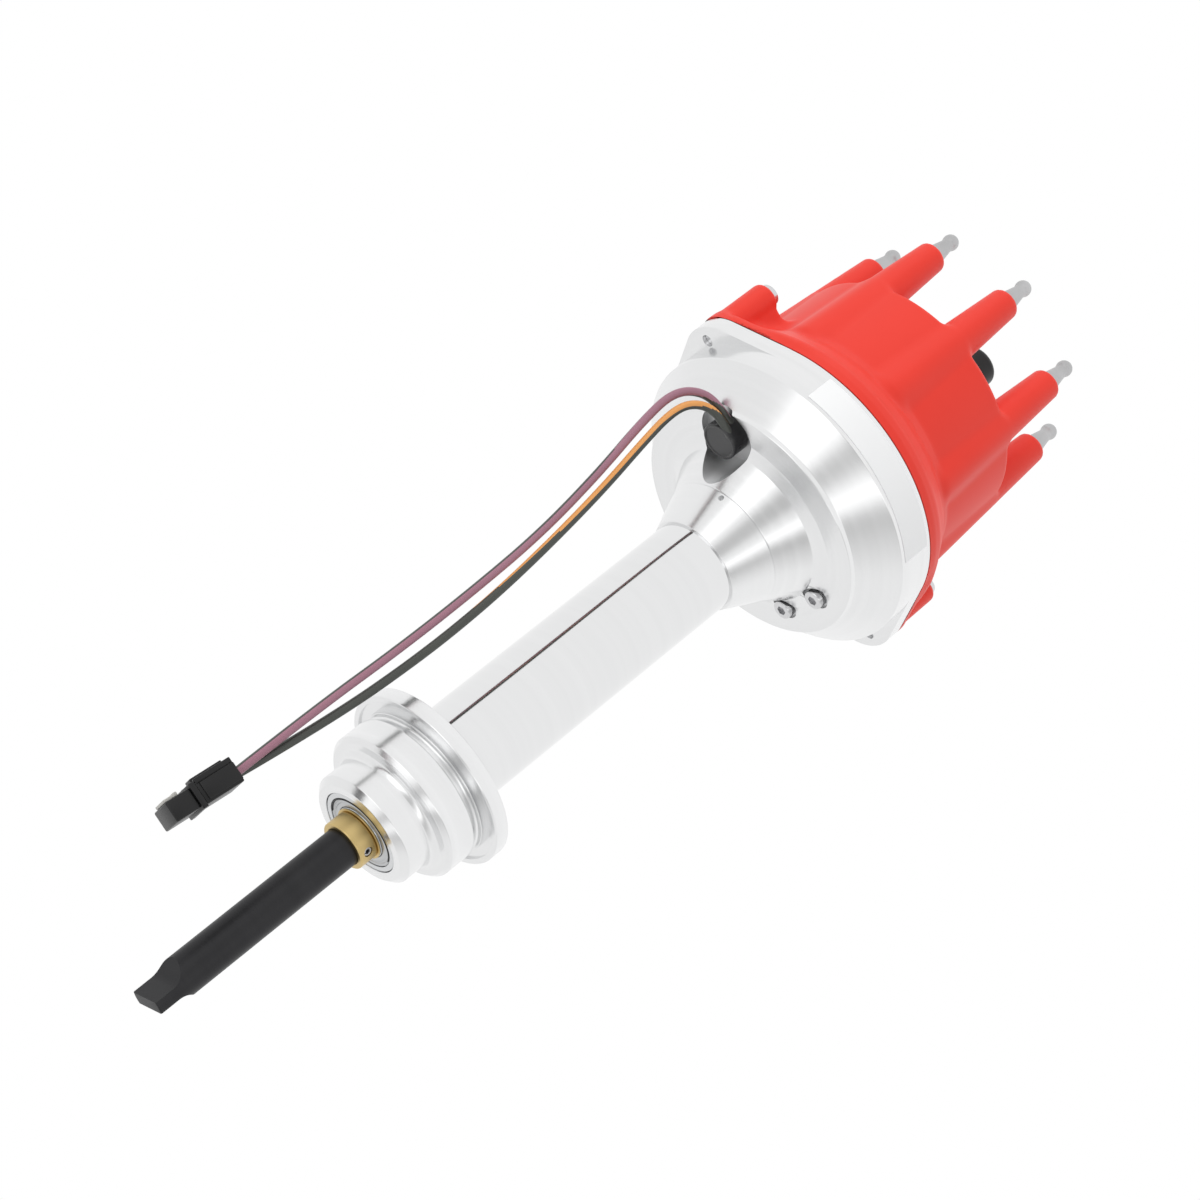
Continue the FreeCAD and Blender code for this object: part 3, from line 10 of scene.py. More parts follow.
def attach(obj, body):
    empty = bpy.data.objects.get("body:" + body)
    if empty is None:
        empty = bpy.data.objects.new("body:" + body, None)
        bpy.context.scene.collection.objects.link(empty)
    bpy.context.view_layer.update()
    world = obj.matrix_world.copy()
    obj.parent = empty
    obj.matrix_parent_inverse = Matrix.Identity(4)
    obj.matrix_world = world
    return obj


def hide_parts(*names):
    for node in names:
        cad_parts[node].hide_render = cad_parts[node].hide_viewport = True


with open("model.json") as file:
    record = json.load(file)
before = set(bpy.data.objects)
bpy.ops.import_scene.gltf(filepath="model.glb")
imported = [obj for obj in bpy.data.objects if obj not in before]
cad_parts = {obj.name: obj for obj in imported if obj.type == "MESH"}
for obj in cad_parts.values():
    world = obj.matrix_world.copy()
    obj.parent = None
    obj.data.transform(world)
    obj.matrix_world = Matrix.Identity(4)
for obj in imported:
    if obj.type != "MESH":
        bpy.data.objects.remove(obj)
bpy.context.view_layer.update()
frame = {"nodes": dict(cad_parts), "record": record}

# Shapes are written in millimetres, as in part.py, and made in metres.
MM = 0.001

# How fine the forms are: degrees to a step of an edge's round, sides of a turned form, and the turn in
# degrees above which an edge stays sharp
ROUND_STEP = 10.0
SEGMENTS = 224
SHARP_ANGLE = 32.0

# Shaft and column. Angles are in degrees about the axis, and a spot is (distance from it, angle).
TANG_TURN = 14.7
PIN_TURN = -60.3
PIN_HEIGHT = -30.15
BEARING_BOTTOM = -26.3
BEARING_TOP = -18.36
SNAP_RING_ENDS = (132.0, 329.0)
TUBE_RADIUS = 16.1
TUBE_BOTTOM = 5.1
TUBE_TOP = 120.0
NECK_HOLE_TURN = -138.2
NECK_HOLE_HEIGHT = 132.4

# Bowl
BOWL_RADIUS = 54.2
LUG_BOTTOM = 167.2
LUG_TOP = 172.9
LUG_REACH = 44.6
LUG_RADIUS = 17.0
LUG_INSIDE = 51.0
SCREW_REACH = 56.6
GROMMET_SPOT = (33.5, -157.5)
POCKET_RADIUS = 10.5
PICKUP_SPOTS = ((33.0, -24.0), (33.0, 9.0))
NOTCH_RADIUS = 4.4

# Cap
SEAM_HEIGHT = 173.2
CAP_RADIUS = 54.3
CAP_TOP = 225.0
CAP_LUG_TOP = 177.2
BOSS_TOP = 196.1
WEB_TOP = 194.9
TOWER_COUNT = 8
TOWER_STEP = 360 / TOWER_COUNT
TOWER_ANGLE = 22.5
TOWER_REACH = 40.4
TOWER_FOOT = 186.0
TOWER_END = 253.3
COIL_SPOT = (7.0, -16.7)
STUMP_RADIUS = 8.6
STUMP_TOP = 238.0
COIL_NECK_RADIUS = 5.6
COIL_NECK_TOP = 251.0


# Camera

def axes_matrix(right, up, back, place):
    """The place of an object whose own axes are right, up and back."""
    return Matrix([[right[i], up[i], back[i], place[i]] for i in range(3)] + [[0, 0, 0, 1]])


def make_camera():
    """A camera with the photograph's place, aim and lens."""
    data = bpy.data.cameras.new("camera")
    data.sensor_width = 36.0
    data.lens = 82.464
    camera = bpy.data.objects.new("camera", data)
    bpy.context.scene.collection.objects.link(camera)
    right = (0.48413, -0.54282, 0.6863)
    up = (-0.8381, -0.0625, 0.5419)
    back = (-0.2513, -0.8375, -0.4852)
    place = (-0.22645, -0.71999, -0.3331)
    camera.matrix_world = axes_matrix(right, up, back, place)
    data.clip_start = 0.01
    bpy.context.scene.camera = camera


make_camera()


# Materials

def new_nodes(name):
    """A new material, its node tree and its shader."""
    surface = bpy.data.materials.new(name)
    surface.use_nodes = True
    tree = surface.node_tree
    return surface, tree, tree.nodes["Principled BSDF"]


def add_node(tree, kind, settings=None, **sockets):
    """One node. Settings are its properties, and sockets are plain values or the outputs that feed it."""
    node = tree.nodes.new(kind)
    for key, value in (settings or {}).items():
        setattr(node, key, value)
    for key, value in sockets.items():
        socket = node.inputs[int(key[1:])] if key[0] == "i" and key[1:].isdigit() else node.inputs[key]
        if isinstance(value, bpy.types.NodeSocket):
            tree.links.new(value, socket)
        else:
            socket.default_value = value
    return node


def turned_place(tree):
    """A texture place that is the same all round the shaft's axis: radius, height, nothing."""
    spot = add_node(tree, "ShaderNodeTexCoord").outputs["Object"]
    split = add_node(tree, "ShaderNodeSeparateXYZ", i0=spot)
    flat = add_node(tree, "ShaderNodeCombineXYZ", i0=split.outputs[0], i1=split.outputs[1])
    radius = add_node(tree, "ShaderNodeVectorMath", {"operation": "LENGTH"}, i0=flat.outputs[0])
    return add_node(tree, "ShaderNodeCombineXYZ", i0=radius.outputs["Value"], i1=split.outputs[2]).outputs[0]


def spread(tree, value, low, high):
    """Maps a 0 to 1 value onto another range."""
    return add_node(tree, "ShaderNodeMapRange", i0=value, i3=low, i4=high).outputs[0]


def tint(tree, value, dark, light):
    """A colour between two, by a 0 to 1 value."""
    mix = add_node(tree, "ShaderNodeMix", {"data_type": "RGBA"})
    tree.links.new(value, mix.inputs[0])
    mix.inputs[6].default_value = (*dark, 1)
    mix.inputs[7].default_value = (*light, 1)
    return mix.outputs[2]


def noise(tree, place, scale, detail=3.0):
    """A 0 to 1 cloud."""
    node = add_node(tree, "ShaderNodeTexNoise", Vector=place, Scale=scale, Detail=detail, Roughness=0.5)
    return node.outputs[0]


def bump(tree, shader, height, strength, distance):
    """Fine relief on a shader."""
    node = add_node(tree, "ShaderNodeBump", Strength=strength, Distance=distance, Height=height)
    tree.links.new(node.outputs[0], shader.inputs["Normal"])


def metal(name, dark, light, rough, turned=True, ring_scale=3800.0, ring_depth=0.000012, scuff=0.05):
    """Bare metal with the fine rings that a lathe leaves, or with an even grain, and faint smears."""
    surface, tree, shader = new_nodes(name)
    spot = add_node(tree, "ShaderNodeTexCoord").outputs["Object"]
    place = turned_place(tree) if turned else spot
    rings = noise(tree, place, ring_scale, 2.0)
    bands = noise(tree, place, ring_scale * 0.09, 2.0)
    smears = noise(tree, spot, 60.0, 4.0)
    tree.links.new(tint(tree, bands, dark, light), shader.inputs["Base Color"])
    both = add_node(tree, "ShaderNodeMath", {"operation": "MULTIPLY_ADD"}, i0=smears, i1=0.6, i2=bands)
    tree.links.new(spread(tree, both.outputs[0], rough - scuff, rough + scuff), shader.inputs["Roughness"])
    shader.inputs["Metallic"].default_value = 1.0
    bump(tree, shader, rings, 0.5, ring_depth)
    return surface


def plastic(name, dark, light, rough, grain=900.0, depth=0.00004, gloss=0.5):
    """Moulded plastic or rubber: faint cloudiness in colour and gloss, over a fine pebbled skin."""
    surface, tree, shader = new_nodes(name)
    spot = add_node(tree, "ShaderNodeTexCoord").outputs["Object"]
    cloud = noise(tree, spot, 45.0, 4.0)
    fine = noise(tree, spot, grain, 3.0)
    tree.links.new(tint(tree, cloud, dark, light), shader.inputs["Base Color"])
    tree.links.new(spread(tree, cloud, rough - 0.05, rough + 0.05), shader.inputs["Roughness"])
    shader.inputs["Specular IOR Level"].default_value = gloss
    bump(tree, shader, fine, 0.35, depth)
    return surface


MATERIALS = {
    "machined_aluminium": metal("machined_aluminium", (0.79, 0.793, 0.797), (0.87, 0.873, 0.877), 0.22,
                                scuff=0.03),
    "polished_aluminium": metal("polished_aluminium", (0.77, 0.773, 0.777), (0.82, 0.823, 0.827), 0.07,
                                ring_depth=0.000003, scuff=0.015),
    "milled_aluminium": metal("milled_aluminium", (0.66, 0.663, 0.667), (0.74, 0.743, 0.747), 0.42,
                              turned=False, ring_scale=2400.0, ring_depth=0.00002),
    "bearing_steel": metal("bearing_steel", (0.6, 0.61, 0.62), (0.72, 0.73, 0.74), 0.22),
    "shield_steel": metal("shield_steel", (0.5, 0.51, 0.52), (0.62, 0.63, 0.64), 0.35),
    "black_oxide": metal("black_oxide", (0.034, 0.034, 0.036), (0.05, 0.05, 0.052), 0.42, ring_scale=2600.0),
    "gold_zinc": metal("gold_zinc", (0.59, 0.44, 0.18), (0.72, 0.55, 0.26), 0.36),
    "plain_steel": metal("plain_steel", (0.5, 0.5, 0.51), (0.62, 0.62, 0.63), 0.3),
    "spring_steel": metal("spring_steel", (0.35, 0.35, 0.36), (0.45, 0.45, 0.46), 0.3, turned=False),
    "bright_screw": metal("bright_screw", (0.62, 0.62, 0.63), (0.74, 0.74, 0.75), 0.22, turned=False,
                          ring_scale=1500.0),
    "copper": metal("copper", (0.6, 0.24, 0.1), (0.75, 0.36, 0.18), 0.35, turned=False),
    "contact_brass": metal("contact_brass", (0.65, 0.47, 0.2), (0.76, 0.6, 0.3), 0.3, turned=False),
    "terminal_metal": metal("terminal_metal", (0.44, 0.44, 0.444), (0.6, 0.6, 0.605), 0.38, turned=False,
                            ring_scale=1500.0),
    "magnet": plastic("magnet", (0.03, 0.03, 0.032), (0.05, 0.05, 0.052), 0.5),
    "pole_iron": metal("pole_iron", (0.4, 0.4, 0.41), (0.5, 0.5, 0.51), 0.4, turned=False),
    "black_plastic": plastic("black_plastic", (0.006, 0.006, 0.0065), (0.012, 0.012, 0.0125), 0.34,
                             gloss=0.32),
    "lock_plastic": plastic("lock_plastic", (0.46, 0.45, 0.42), (0.56, 0.55, 0.52), 0.5),
    "black_rubber": plastic("black_rubber", (0.022, 0.022, 0.023), (0.036, 0.036, 0.038), 0.24),
    "red_plastic": plastic("red_plastic", (0.77, 0.036, 0.02), (0.83, 0.046, 0.028), 0.44, gloss=0.3),
    "carbon": plastic("carbon", (0.02, 0.02, 0.02), (0.04, 0.04, 0.04), 0.6),
    "violet_wire": plastic("violet_wire", (0.3, 0.135, 0.185), (0.37, 0.175, 0.23), 0.36, depth=0.00002),
    "orange_wire": plastic("orange_wire", (0.72, 0.3, 0.075), (0.8, 0.37, 0.11), 0.36, depth=0.00002),
    "wire_shade_black": plastic("wire_shade_black", (0.04, 0.043, 0.038), (0.065, 0.07, 0.06), 0.36, depth=0.00002),
    "label": plastic("label", (0.87, 0.875, 0.88), (0.91, 0.915, 0.92), 0.3, depth=0.00001),
}


# Ways of making a piece

def polar(radius, angle):
    """A spot's x and y."""
    return radius * math.cos(math.radians(angle)), radius * math.sin(math.radians(angle))


def put(mesh, name, body, slot, *nodes, looks=()):
    """Adds a mesh to the scene, on its body, in place of the CAD nodes named.

    Its material is the slot's, unless the materials for its faces' own indices are given as looks.
    """
    piece = bpy.data.objects.new(name, mesh)
    bpy.context.scene.collection.objects.link(piece)
    for key in looks or (slot,):
        mesh.materials.append(MATERIALS[key])
    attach(piece, body)
    if nodes:
        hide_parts(*nodes)
    return piece


def shade(mesh):
    """Smooth shading, with an edge kept sharp where its two faces turn by more than SHARP_ANGLE."""
    mesh.shade_smooth()
    mesh.set_sharp_from_angle(angle=math.radians(SHARP_ANGLE))


def even_normals(piece):
    """Lets large faces rule the shading, so that small rounds don't darken the flats beside them."""
    weighted = piece.modifiers.new("normals", "WEIGHTED_NORMAL")
    weighted.keep_sharp = True
    weighted.weight = 60


def rounded(corners, closed):
    """Replaces each (x, y, radius) corner of an outline with an arc."""
    out = []
    for index, corner in enumerate(corners):
        here = Vector(corner[:2])
        ends = not closed and index in (0, len(corners) - 1)
        if len(corner) == 2 or corner[2] <= 0 or ends:
            out.append(here)
            continue
        back = Vector(corners[index - 1][:2]) - here
        ahead = Vector(corners[(index + 1) % len(corners)][:2]) - here
        turn = math.pi - back.angle(ahead)
        reach = corner[2] * math.tan(turn / 2)
        limit = 0.49 * min(back.length, ahead.length)
        radius = corner[2] * min(1.0, limit / reach)
        reach = min(reach, limit)
        start, end = here + back.normalized() * reach, here + ahead.normalized() * reach
        inward = (back.normalized() + ahead.normalized()).normalized()
        centre = here + inward * (radius / math.cos(turn / 2))
        steps = max(3, round(math.degrees(turn) / ROUND_STEP))
        first = start - centre
        sweep = first.angle_signed(end - centre)
        for step in range(steps + 1):
            out.append(centre + Matrix.Rotation(-sweep * step / steps, 2) @ first)
    return out


def lathe_mesh(name, corners, closed=True, segments=SEGMENTS, centre=(0, 0)):
    """Turns an outline of (radius, height, round) corners about an upright axis."""
    outline = rounded(corners, closed)
    form = bmesh.new()
    rings = []
    for point in outline:
        if point.x < 1e-6:
            rings.append([form.verts.new((centre[0] * MM, centre[1] * MM, point.y * MM))])
            continue
        ring = []
        for index in range(segments):
            x, y = polar(point.x, 360 * index / segments)
            ring.append(form.verts.new(((x + centre[0]) * MM, (y + centre[1]) * MM, point.y * MM)))
        rings.append(ring)
    pairs = list(zip(rings, rings[1:])) + ([(rings[-1], rings[0])] if closed else [])
    for low, high in pairs:
        if len(low) == len(high) == 1:
            continue
        for index in range(segments):
            after = (index + 1) % segments
            if len(low) == 1:
                form.faces.new((low[0], high[after], high[index]))
            elif len(high) == 1:
                form.faces.new((low[index], low[after], high[0]))
            else:
                form.faces.new((low[index], low[after], high[after], high[index]))
    bmesh.ops.recalc_face_normals(form, faces=form.faces)
    return finished(form, name)


def finished(form, name):
    """A form's mesh, shaded."""
    mesh = bpy.data.meshes.new(name)
    form.to_mesh(mesh)
    form.free()
    shade(mesh)
    return mesh


def prism_mesh(name, outline, bottom, top, turn=0.0):
    """A closed outline of (x, y) points raised from bottom to top."""
    form = bmesh.new()
    spin = Matrix.Rotation(math.radians(turn), 3, "Z")
    low = [form.verts.new(spin @ Vector((x, y, bottom)) * MM) for x, y in outline]
    high = [form.verts.new(spin @ Vector((x, y, top)) * MM) for x, y in outline]
    form.faces.new(low[::-1])
    form.faces.new(high)
    for index in range(len(low)):
        after = (index + 1) % len(low)
        form.faces.new((low[index], low[after], high[after], high[index]))
    bmesh.ops.recalc_face_normals(form, faces=form.faces)
    return finished(form, name)


def circle(radius, count, x=0.0, y=0.0):
    """Points evenly around a centre."""
    spots = [polar(radius, 360 * index / count) for index in range(count)]
    return [(x + spot[0], y + spot[1]) for spot in spots]


def as_tool(mesh):
    """An object for a mesh that is no piece of its own."""
    tool = bpy.data.objects.new(mesh.name, mesh)
    bpy.context.scene.collection.objects.link(tool)
    return tool


def combined(mesh, parts, operation):
    """A mesh joined with others, or cut by them."""
    base = as_tool(mesh)
    for part in parts:
        tool = as_tool(part)
        step = base.modifiers.new("join", "BOOLEAN")
        step.operation = operation
        step.solver = "MANIFOLD"
        step.object = tool
        bpy.context.view_layer.update()
        result = bpy.data.meshes.new_from_object(base.evaluated_get(bpy.context.evaluated_depsgraph_get()))
        base.modifiers.clear()
        base.data = result
        bpy.data.objects.remove(tool)
    result = base.data
    bpy.data.objects.remove(base)
    result.name = mesh.name
    result.materials.clear()
    shade(result)
    return result


# Wires: the points are those of the same routes in part.py

VIOLET_ROUTE = [
    (-32.3, -17.0, 147.8), (-38.5, -16.8, 147.9), (-47.3, -14.5, 146.7), (-52.9, -12.4, 138.2),
    (-51.2, -11.9, 123.0), (-46.4, -12.1, 99.0), (-42.4, -12.5, 70.0), (-41.0, -12.6, 40.0),
    (-40.5, -12.4, 10.0), (-41.2, -12.3, -23.0), (-40.9, -13.1, -55.5)]

ORANGE_ROUTE = [
    (-31.6, -17.7, 144.8), (-37.2, -17.9, 145.0), (-43.4, -16.7, 143.8), (-47.6, -15.2, 138.6),
    (-48.3, -14.5, 131.0), (-46.3, -14.1, 118.5), (-42.2, -14.1, 97.0), (-38.6, -14.4, 70.0),
    (-35.9, -14.3, 42.0), (-34.9, -13.3, 13.0), (-36.1, -11.6, -22.0), (-39.6, -8.8, -55.5)]

WIRE_RADIUS = 1.4
WIRE_SIDES = 24


def smooth_line(name, points):
    """The points of a smooth NURBS line whose control points are a route's."""
    data = bpy.data.curves.new(name, "CURVE")
    data.dimensions = "3D"
    spline = data.splines.new("NURBS")
    spline.points.add(len(points) - 1)
    for point, spot in zip(spline.points, points):
        point.co = (spot[0] * MM, spot[1] * MM, spot[2] * MM, 1)
    spline.order_u = 3
    spline.use_endpoint_u = True
    spline.resolution_u = 24
    holder = bpy.data.objects.new(name, data)
    bpy.context.scene.collection.objects.link(holder)
    bpy.context.view_layer.update()
    mesh = bpy.data.meshes.new_from_object(holder.evaluated_get(bpy.context.evaluated_depsgraph_get()))
    line = [vertex.co.copy() for vertex in mesh.vertices]
    bpy.data.objects.remove(holder)
    return line


def make_wire(name, node, slot, route, shade_bands):
    """A wire with dark faces along one side that paint its shade, widening to go all round near the ends:
    rows of (share of the length, the dark band's angle, half its width).
    """
    shares, turns, halves = zip(*shade_bands)
    line = smooth_line(name, route)
    lengths = [0.0]
    for before, after in zip(line, line[1:]):
        lengths.append(lengths[-1] + (after - before).length)
    form = bmesh.new()
    rings = []
    for index, spot in enumerate(line):
        ahead = (line[min(index + 1, len(line) - 1)] - line[max(index - 1, 0)]).normalized()
        out = Vector((0, -1, 0))
        out = (out - ahead * out.dot(ahead)).normalized()
        side = ahead.cross(out)
        turn = np.interp(lengths[index] / lengths[-1], shares, turns)
        ring = []
        for corner in range(WIRE_SIDES):
            angle = math.radians(turn + 360 * corner / WIRE_SIDES)
            outward = out * math.cos(angle) + side * math.sin(angle)
            ring.append(form.verts.new(spot + outward * WIRE_RADIUS * MM))
        rings.append(ring)
    form.faces.new(rings[0][::-1])
    form.faces.new(rings[-1])
    for index, (low, high) in enumerate(zip(rings, rings[1:])):
        # Painted shade: faces within the band take the dark material.
        half = np.interp(lengths[index] / lengths[-1], shares, halves)
        for corner in range(WIRE_SIDES):
            after = (corner + 1) % WIRE_SIDES
            face = form.faces.new((low[corner], low[after], high[after], high[corner]))
            middle = (corner + 0.5) * 360 / WIRE_SIDES
            face.material_index = 1 if min(middle, 360 - middle) < half else 0
    bmesh.ops.recalc_face_normals(form, faces=form.faces)
    piece = put(finished(form, name), name, "housing", slot, node, looks=(slot, "wire_shade_black"))


# Plug at the wires' end

PLUG_SPOT = (-40.3, -10.9, -55.0)
PLUG_LEAN = 4.7
PLUG_TURN = -16.7


def block(size, centre, bevel=0.35):
    """A box with broken edges, in the plug's own upright frame. Its size is thickness, width, height."""
    form = bmesh.new()
    bmesh.ops.create_cube(form, size=1.0)
    for vertex in form.verts:
        vertex.co = Vector([vertex.co[i] * size[i] + centre[i] for i in range(3)])
    bmesh.ops.bevel(form, geom=form.edges[:], offset=bevel, segments=3, affect="EDGES", profile=0.5)
    return form


def joined(forms):
    """One form out of several."""
    whole = bmesh.new()
    for form in forms:
        mesh = bpy.data.meshes.new("part")
        form.to_mesh(mesh)
        form.free()
        whole.from_mesh(mesh)
        bpy.data.meshes.remove(mesh)
    return whole


def plug_piece(forms, name, slot, *nodes):
    """A piece of the plug, moved from the plug's upright frame to its place."""
    form = joined(forms)
    lean = Matrix.Rotation(math.radians(PLUG_TURN), 4, "Z") @ Matrix.Rotation(math.radians(PLUG_LEAN), 4, "Y")
    form.transform(Matrix.Scale(MM, 4) @ Matrix.Translation(PLUG_SPOT) @ lean)
    return put(finished(form, name), name, "housing", slot, *nodes)


def make_plug():
    """The two-way plug: rear block with side ribs, collar, nose, latch arm and the pale lock."""
    shell = [
        block((7.0, 13.6, 13.0), (0, 0, -6.5)),
        block((8.2, 14.8, 1.8), (0, 0, -13.9), 0.3),
        block((6.4, 13.0, 8.2), (0, 0, -18.9), 0.5),
        block((1.4, 5.0, 11.0), (-4.7, 0, -6.5), 0.3),
        block((2.0, 5.0, 3.0), (-3.5, 0, -10.5), 0.3)]
    for side in (-1, 1):
        shell.append(block((2.2, 1.1, 12.7), (-3.5, 6.25 * side, -6.35), 0.3))
        shell.append(block((5.6, 1.0, 11.7), (0, 6.8 * side, -5.85), 0.3))
    plug = plug_piece(shell, "plug_shell", "black_plastic", "connector_shell")
    bars = [block((0.9, 8.6, 4.0), (-3.75, 0, -20.5), 0.2), block((1.3, 8.0, 1.2), (-3.9, 0, -18.2), 0.3)]
    lock = plug_piece(bars, "plug_lock", "lock_plastic", "connector_lock")
    return [plug, lock, "connector_pins"]


# Where each wire's painted shade lies: along one side, and all round near the ends.
VIOLET_SHADE_BANDS = [
    (0, 215, 175), (0.034, 215, 170), (0.052, 215, 112), (0.075, 212, 92), (0.11, 200, 70),
    (0.18, 165, 75), (0.3, 142, 88), (1, 140, 90)]

ORANGE_SHADE_BANDS = [
    (0, -120, 175), (0.03, -120, 168), (0.05, -120, 112), (0.075, -115, 90), (0.15, -78, 88),
    (0.3, -70, 92), (0.42, -62, 100), (0.5, -50, 108), (0.56, -40, 125), (0.62, -30, 170), (1, 0, 179)]

plug_pieces = make_plug()
make_wire("lead_violet", "wire_violet", "violet_wire", VIOLET_ROUTE, VIOLET_SHADE_BANDS)
make_wire("lead_orange", "wire_orange", "orange_wire", ORANGE_ROUTE, ORANGE_SHADE_BANDS)


# Shaft, collar and lower bearing

def make_shaft():
    """The round shaft with its flat tang at the foot."""
    round_part = lathe_mesh("shaft_body", [
        (0, -108.0), (6.35, -108.0, 0.5), (6.35, -26.9), (6.35, 173.2, 0.3), (4.2, 173.2),
        (4.2, 179.4, 0.3), (0, 179.4)], closed=False)
    outline = rounded([(2.0, -118.0), (2.0, -99.0, 5.5), (8.2, -93.2), (20.0, -93.2), (20.0, -118.0)], True)
    lying = Matrix.Rotation(math.pi / 2, 4, "X")
    cuts = []
    for half in (0, 180):
        cut = prism_mesh("cut", [(p.x, p.y) for p in outline], -20.0, 20.0)
        cut.transform(Matrix.Rotation(math.radians(TANG_TURN + half), 4, "Z") @ lying)
        cuts.append(cut)
    shaft = combined(round_part, cuts, "DIFFERENCE")
    piece = put(shaft, "shaft_blackened", "shaft", "black_oxide", "drive_shaft")
    edges = piece.modifiers.new("edges", "BEVEL")
    edges.width = 0.35 * MM
    edges.segments = 2
    edges.angle_limit = math.radians(SHARP_ANGLE)
    even_normals(piece)


def make_collar():
    """The plated thrust collar with its cross hole, the rolled pin in it, and the washer above."""
    bottom, top = -33.3, -27.0
    collar = lathe_mesh("collar", [
        (6.42, bottom, 0.15), (8.15, bottom, 0.45), (8.15, top, 0.4), (6.42, top, 0.15)])
    pin_place = (Matrix.Rotation(math.radians(PIN_TURN), 4, "Z") @ Matrix.Translation((0, 0, PIN_HEIGHT * MM))
                 @ Matrix.Rotation(math.pi / 2, 4, "Y"))
    hole = prism_mesh("hole", circle(1.62, 40), -12, 12)
    hole.transform(pin_place)
    drilled = combined(collar, [hole], "DIFFERENCE")
    even_normals(put(drilled, "collar_plated", "shaft", "gold_zinc", "thrust_collar"))
    pin = lathe_mesh("pin", [
        (0.8, -7.75, 0.1), (1.5, -7.75, 0.25), (1.5, 7.75, 0.25), (0.8, 7.75, 0.1)], segments=48)
    slit = prism_mesh("slit", [(0.5, -0.2), (3.0, -0.2), (3.0, 0.2), (0.5, 0.2)], -9, 9)
    rolled = combined(pin, [slit], "DIFFERENCE")
    rolled.transform(pin_place)
    put(rolled, "pin_rolled", "shaft", "plain_steel", "roll_pin")
    washer = lathe_mesh("washer", [
        (6.42, -26.9, 0.1), (8.9, -26.9, 0.15), (8.9, -26.4, 0.15), (6.42, -26.4, 0.1)])
    put(washer, "washer_ground", "shaft", "gold_zinc", "thrust_washer")


def make_lower_bearing():
    """The lower bearing's races, and the pressed shields that cover its balls on both sides."""
    bottom, top = BEARING_BOTTOM, BEARING_TOP
    outer = lathe_mesh("outer", [
        (12.5, bottom, 0.15), (14.29, bottom, 0.5), (14.29, top, 0.4), (12.5, top, 0.1),
        (12.5, top - 0.75), (11.6, top - 0.75), (11.6, bottom + 0.75), (12.5, bottom + 0.75)])
    even_normals(put(outer, "race_outer", "housing", "bearing_steel", "lower_bearing_outer_race"))
    inner = lathe_mesh("inner", [(6.4, bottom, 0.4), (9.0, bottom, 0.25), (9.0, top, 0.25), (6.4, top, 0.4)])
    even_normals(put(inner, "race_inner", "shaft", "bearing_steel", "lower_bearing_inner_race"))
    forms = []
    for face, way in ((bottom + 0.3, 1), (top - 0.3, -1)):
        mesh = lathe_mesh("shield", [
            (9.15, face + 0.25 * way), (9.15, face + 0.05 * way, 0.1), (10.4, face + 0.05 * way, 0.15),
            (10.7, face + 0.3 * way, 0.15), (11.3, face + 0.3 * way, 0.15), (11.5, face, 0.15),
            (12.3, face, 0.15), (12.42, face + 0.35 * way, 0.1), (12.0, face + 0.55 * way)])
        form = bmesh.new()
        form.from_mesh(mesh)
        forms.append(form)
    shields = finished(joined(forms), "shields")
    put(shields, "shields_pressed", "housing", "shield_steel", "lower_bearing_shields")


def make_snap_ring():
    """The open wire ring that lies in the nose below the bearing, made black as painted shade for the shadows
    on both sides of it.
    """
    reach, wire_radius, height, sides = 12.05, 0.26, BEARING_BOTTOM + 0.12, 10
    form = bmesh.new()
    rings = []
    for angle in np.linspace(*SNAP_RING_ENDS, 97):
        ring = []
        for corner in range(sides):
            out, rise = polar(wire_radius, 360 * corner / sides)
            ring.append(form.verts.new(Vector((*polar(reach + out, angle), height + rise)) * MM))
        rings.append(ring)
    form.faces.new(rings[0])
    form.faces.new(rings[-1][::-1])
    for low, high in zip(rings, rings[1:]):
        for corner in range(sides):
            form.faces.new((low[corner - 1], low[corner], high[corner], high[corner - 1]))
    bmesh.ops.recalc_face_normals(form, faces=form.faces)
    # The black metal here is painted shade, not the ring's own colour.
    put(finished(form, "snap_ring"), "snap_ring", "housing", "black_oxide")


# Column

def make_column():
    """The turned column: nose, pilot with its seal groove, flange, long tube, and neck."""
    column = lathe_mesh("column", [
        (14.4, -26.6, 0.3), (17.3, -26.6, 0.35), (19.3, -24.6, 0.35), (19.3, -14.5, 2.5), (24.0, -14.5, 0.4),
        (25.4, -13.1, 0.4), (25.4, -4.1, 0.35), (23.8, -4.1, 1.4), (23.8, -1.2, 1.4), (25.4, -1.2, 0.25),
        (25.4, 0.8), (28.5, 0.8), (28.5, 0.0, 0.15), (30.5, 0.0, 0.45), (30.5, TUBE_BOTTOM, 0.45),
        (TUBE_RADIUS, TUBE_BOTTOM, 1.2), (TUBE_RADIUS, TUBE_TOP), (16.9, TUBE_TOP, 0.25),
        (22.72, 133.8, 0.12), (22.5, 134.02), (18.0, 134.02), (18.0, 142.0), (9.0, 142.0), (9.0, -18.26),
        (14.4, -18.26)])
    hole = prism_mesh("hole", circle(0.9, 32), 20.2, 26.0)
    spin = Matrix.Rotation(math.radians(NECK_HOLE_TURN), 4, "Z")
    lying = Matrix.Rotation(math.pi / 2, 4, "Y")
    hole.transform(Matrix.Translation((0, 0, NECK_HOLE_HEIGHT * MM)) @ spin @ lying)
    piece = put(combined(column, [hole], "DIFFERENCE"), "column_turned", "housing", "machined_aluminium",
                "column_housing", looks=("machined_aluminium", "polished_aluminium"))
    for face in piece.data.polygons:
        centre = face.center / MM
        on_tube = abs(math.hypot(centre.x, centre.y) - TUBE_RADIUS) < 0.2
        if on_tube and TUBE_BOTTOM + 1.4 < centre.z < TUBE_TOP - 0.1:
            face.material_index = 1
    even_normals(piece)


# Bowl

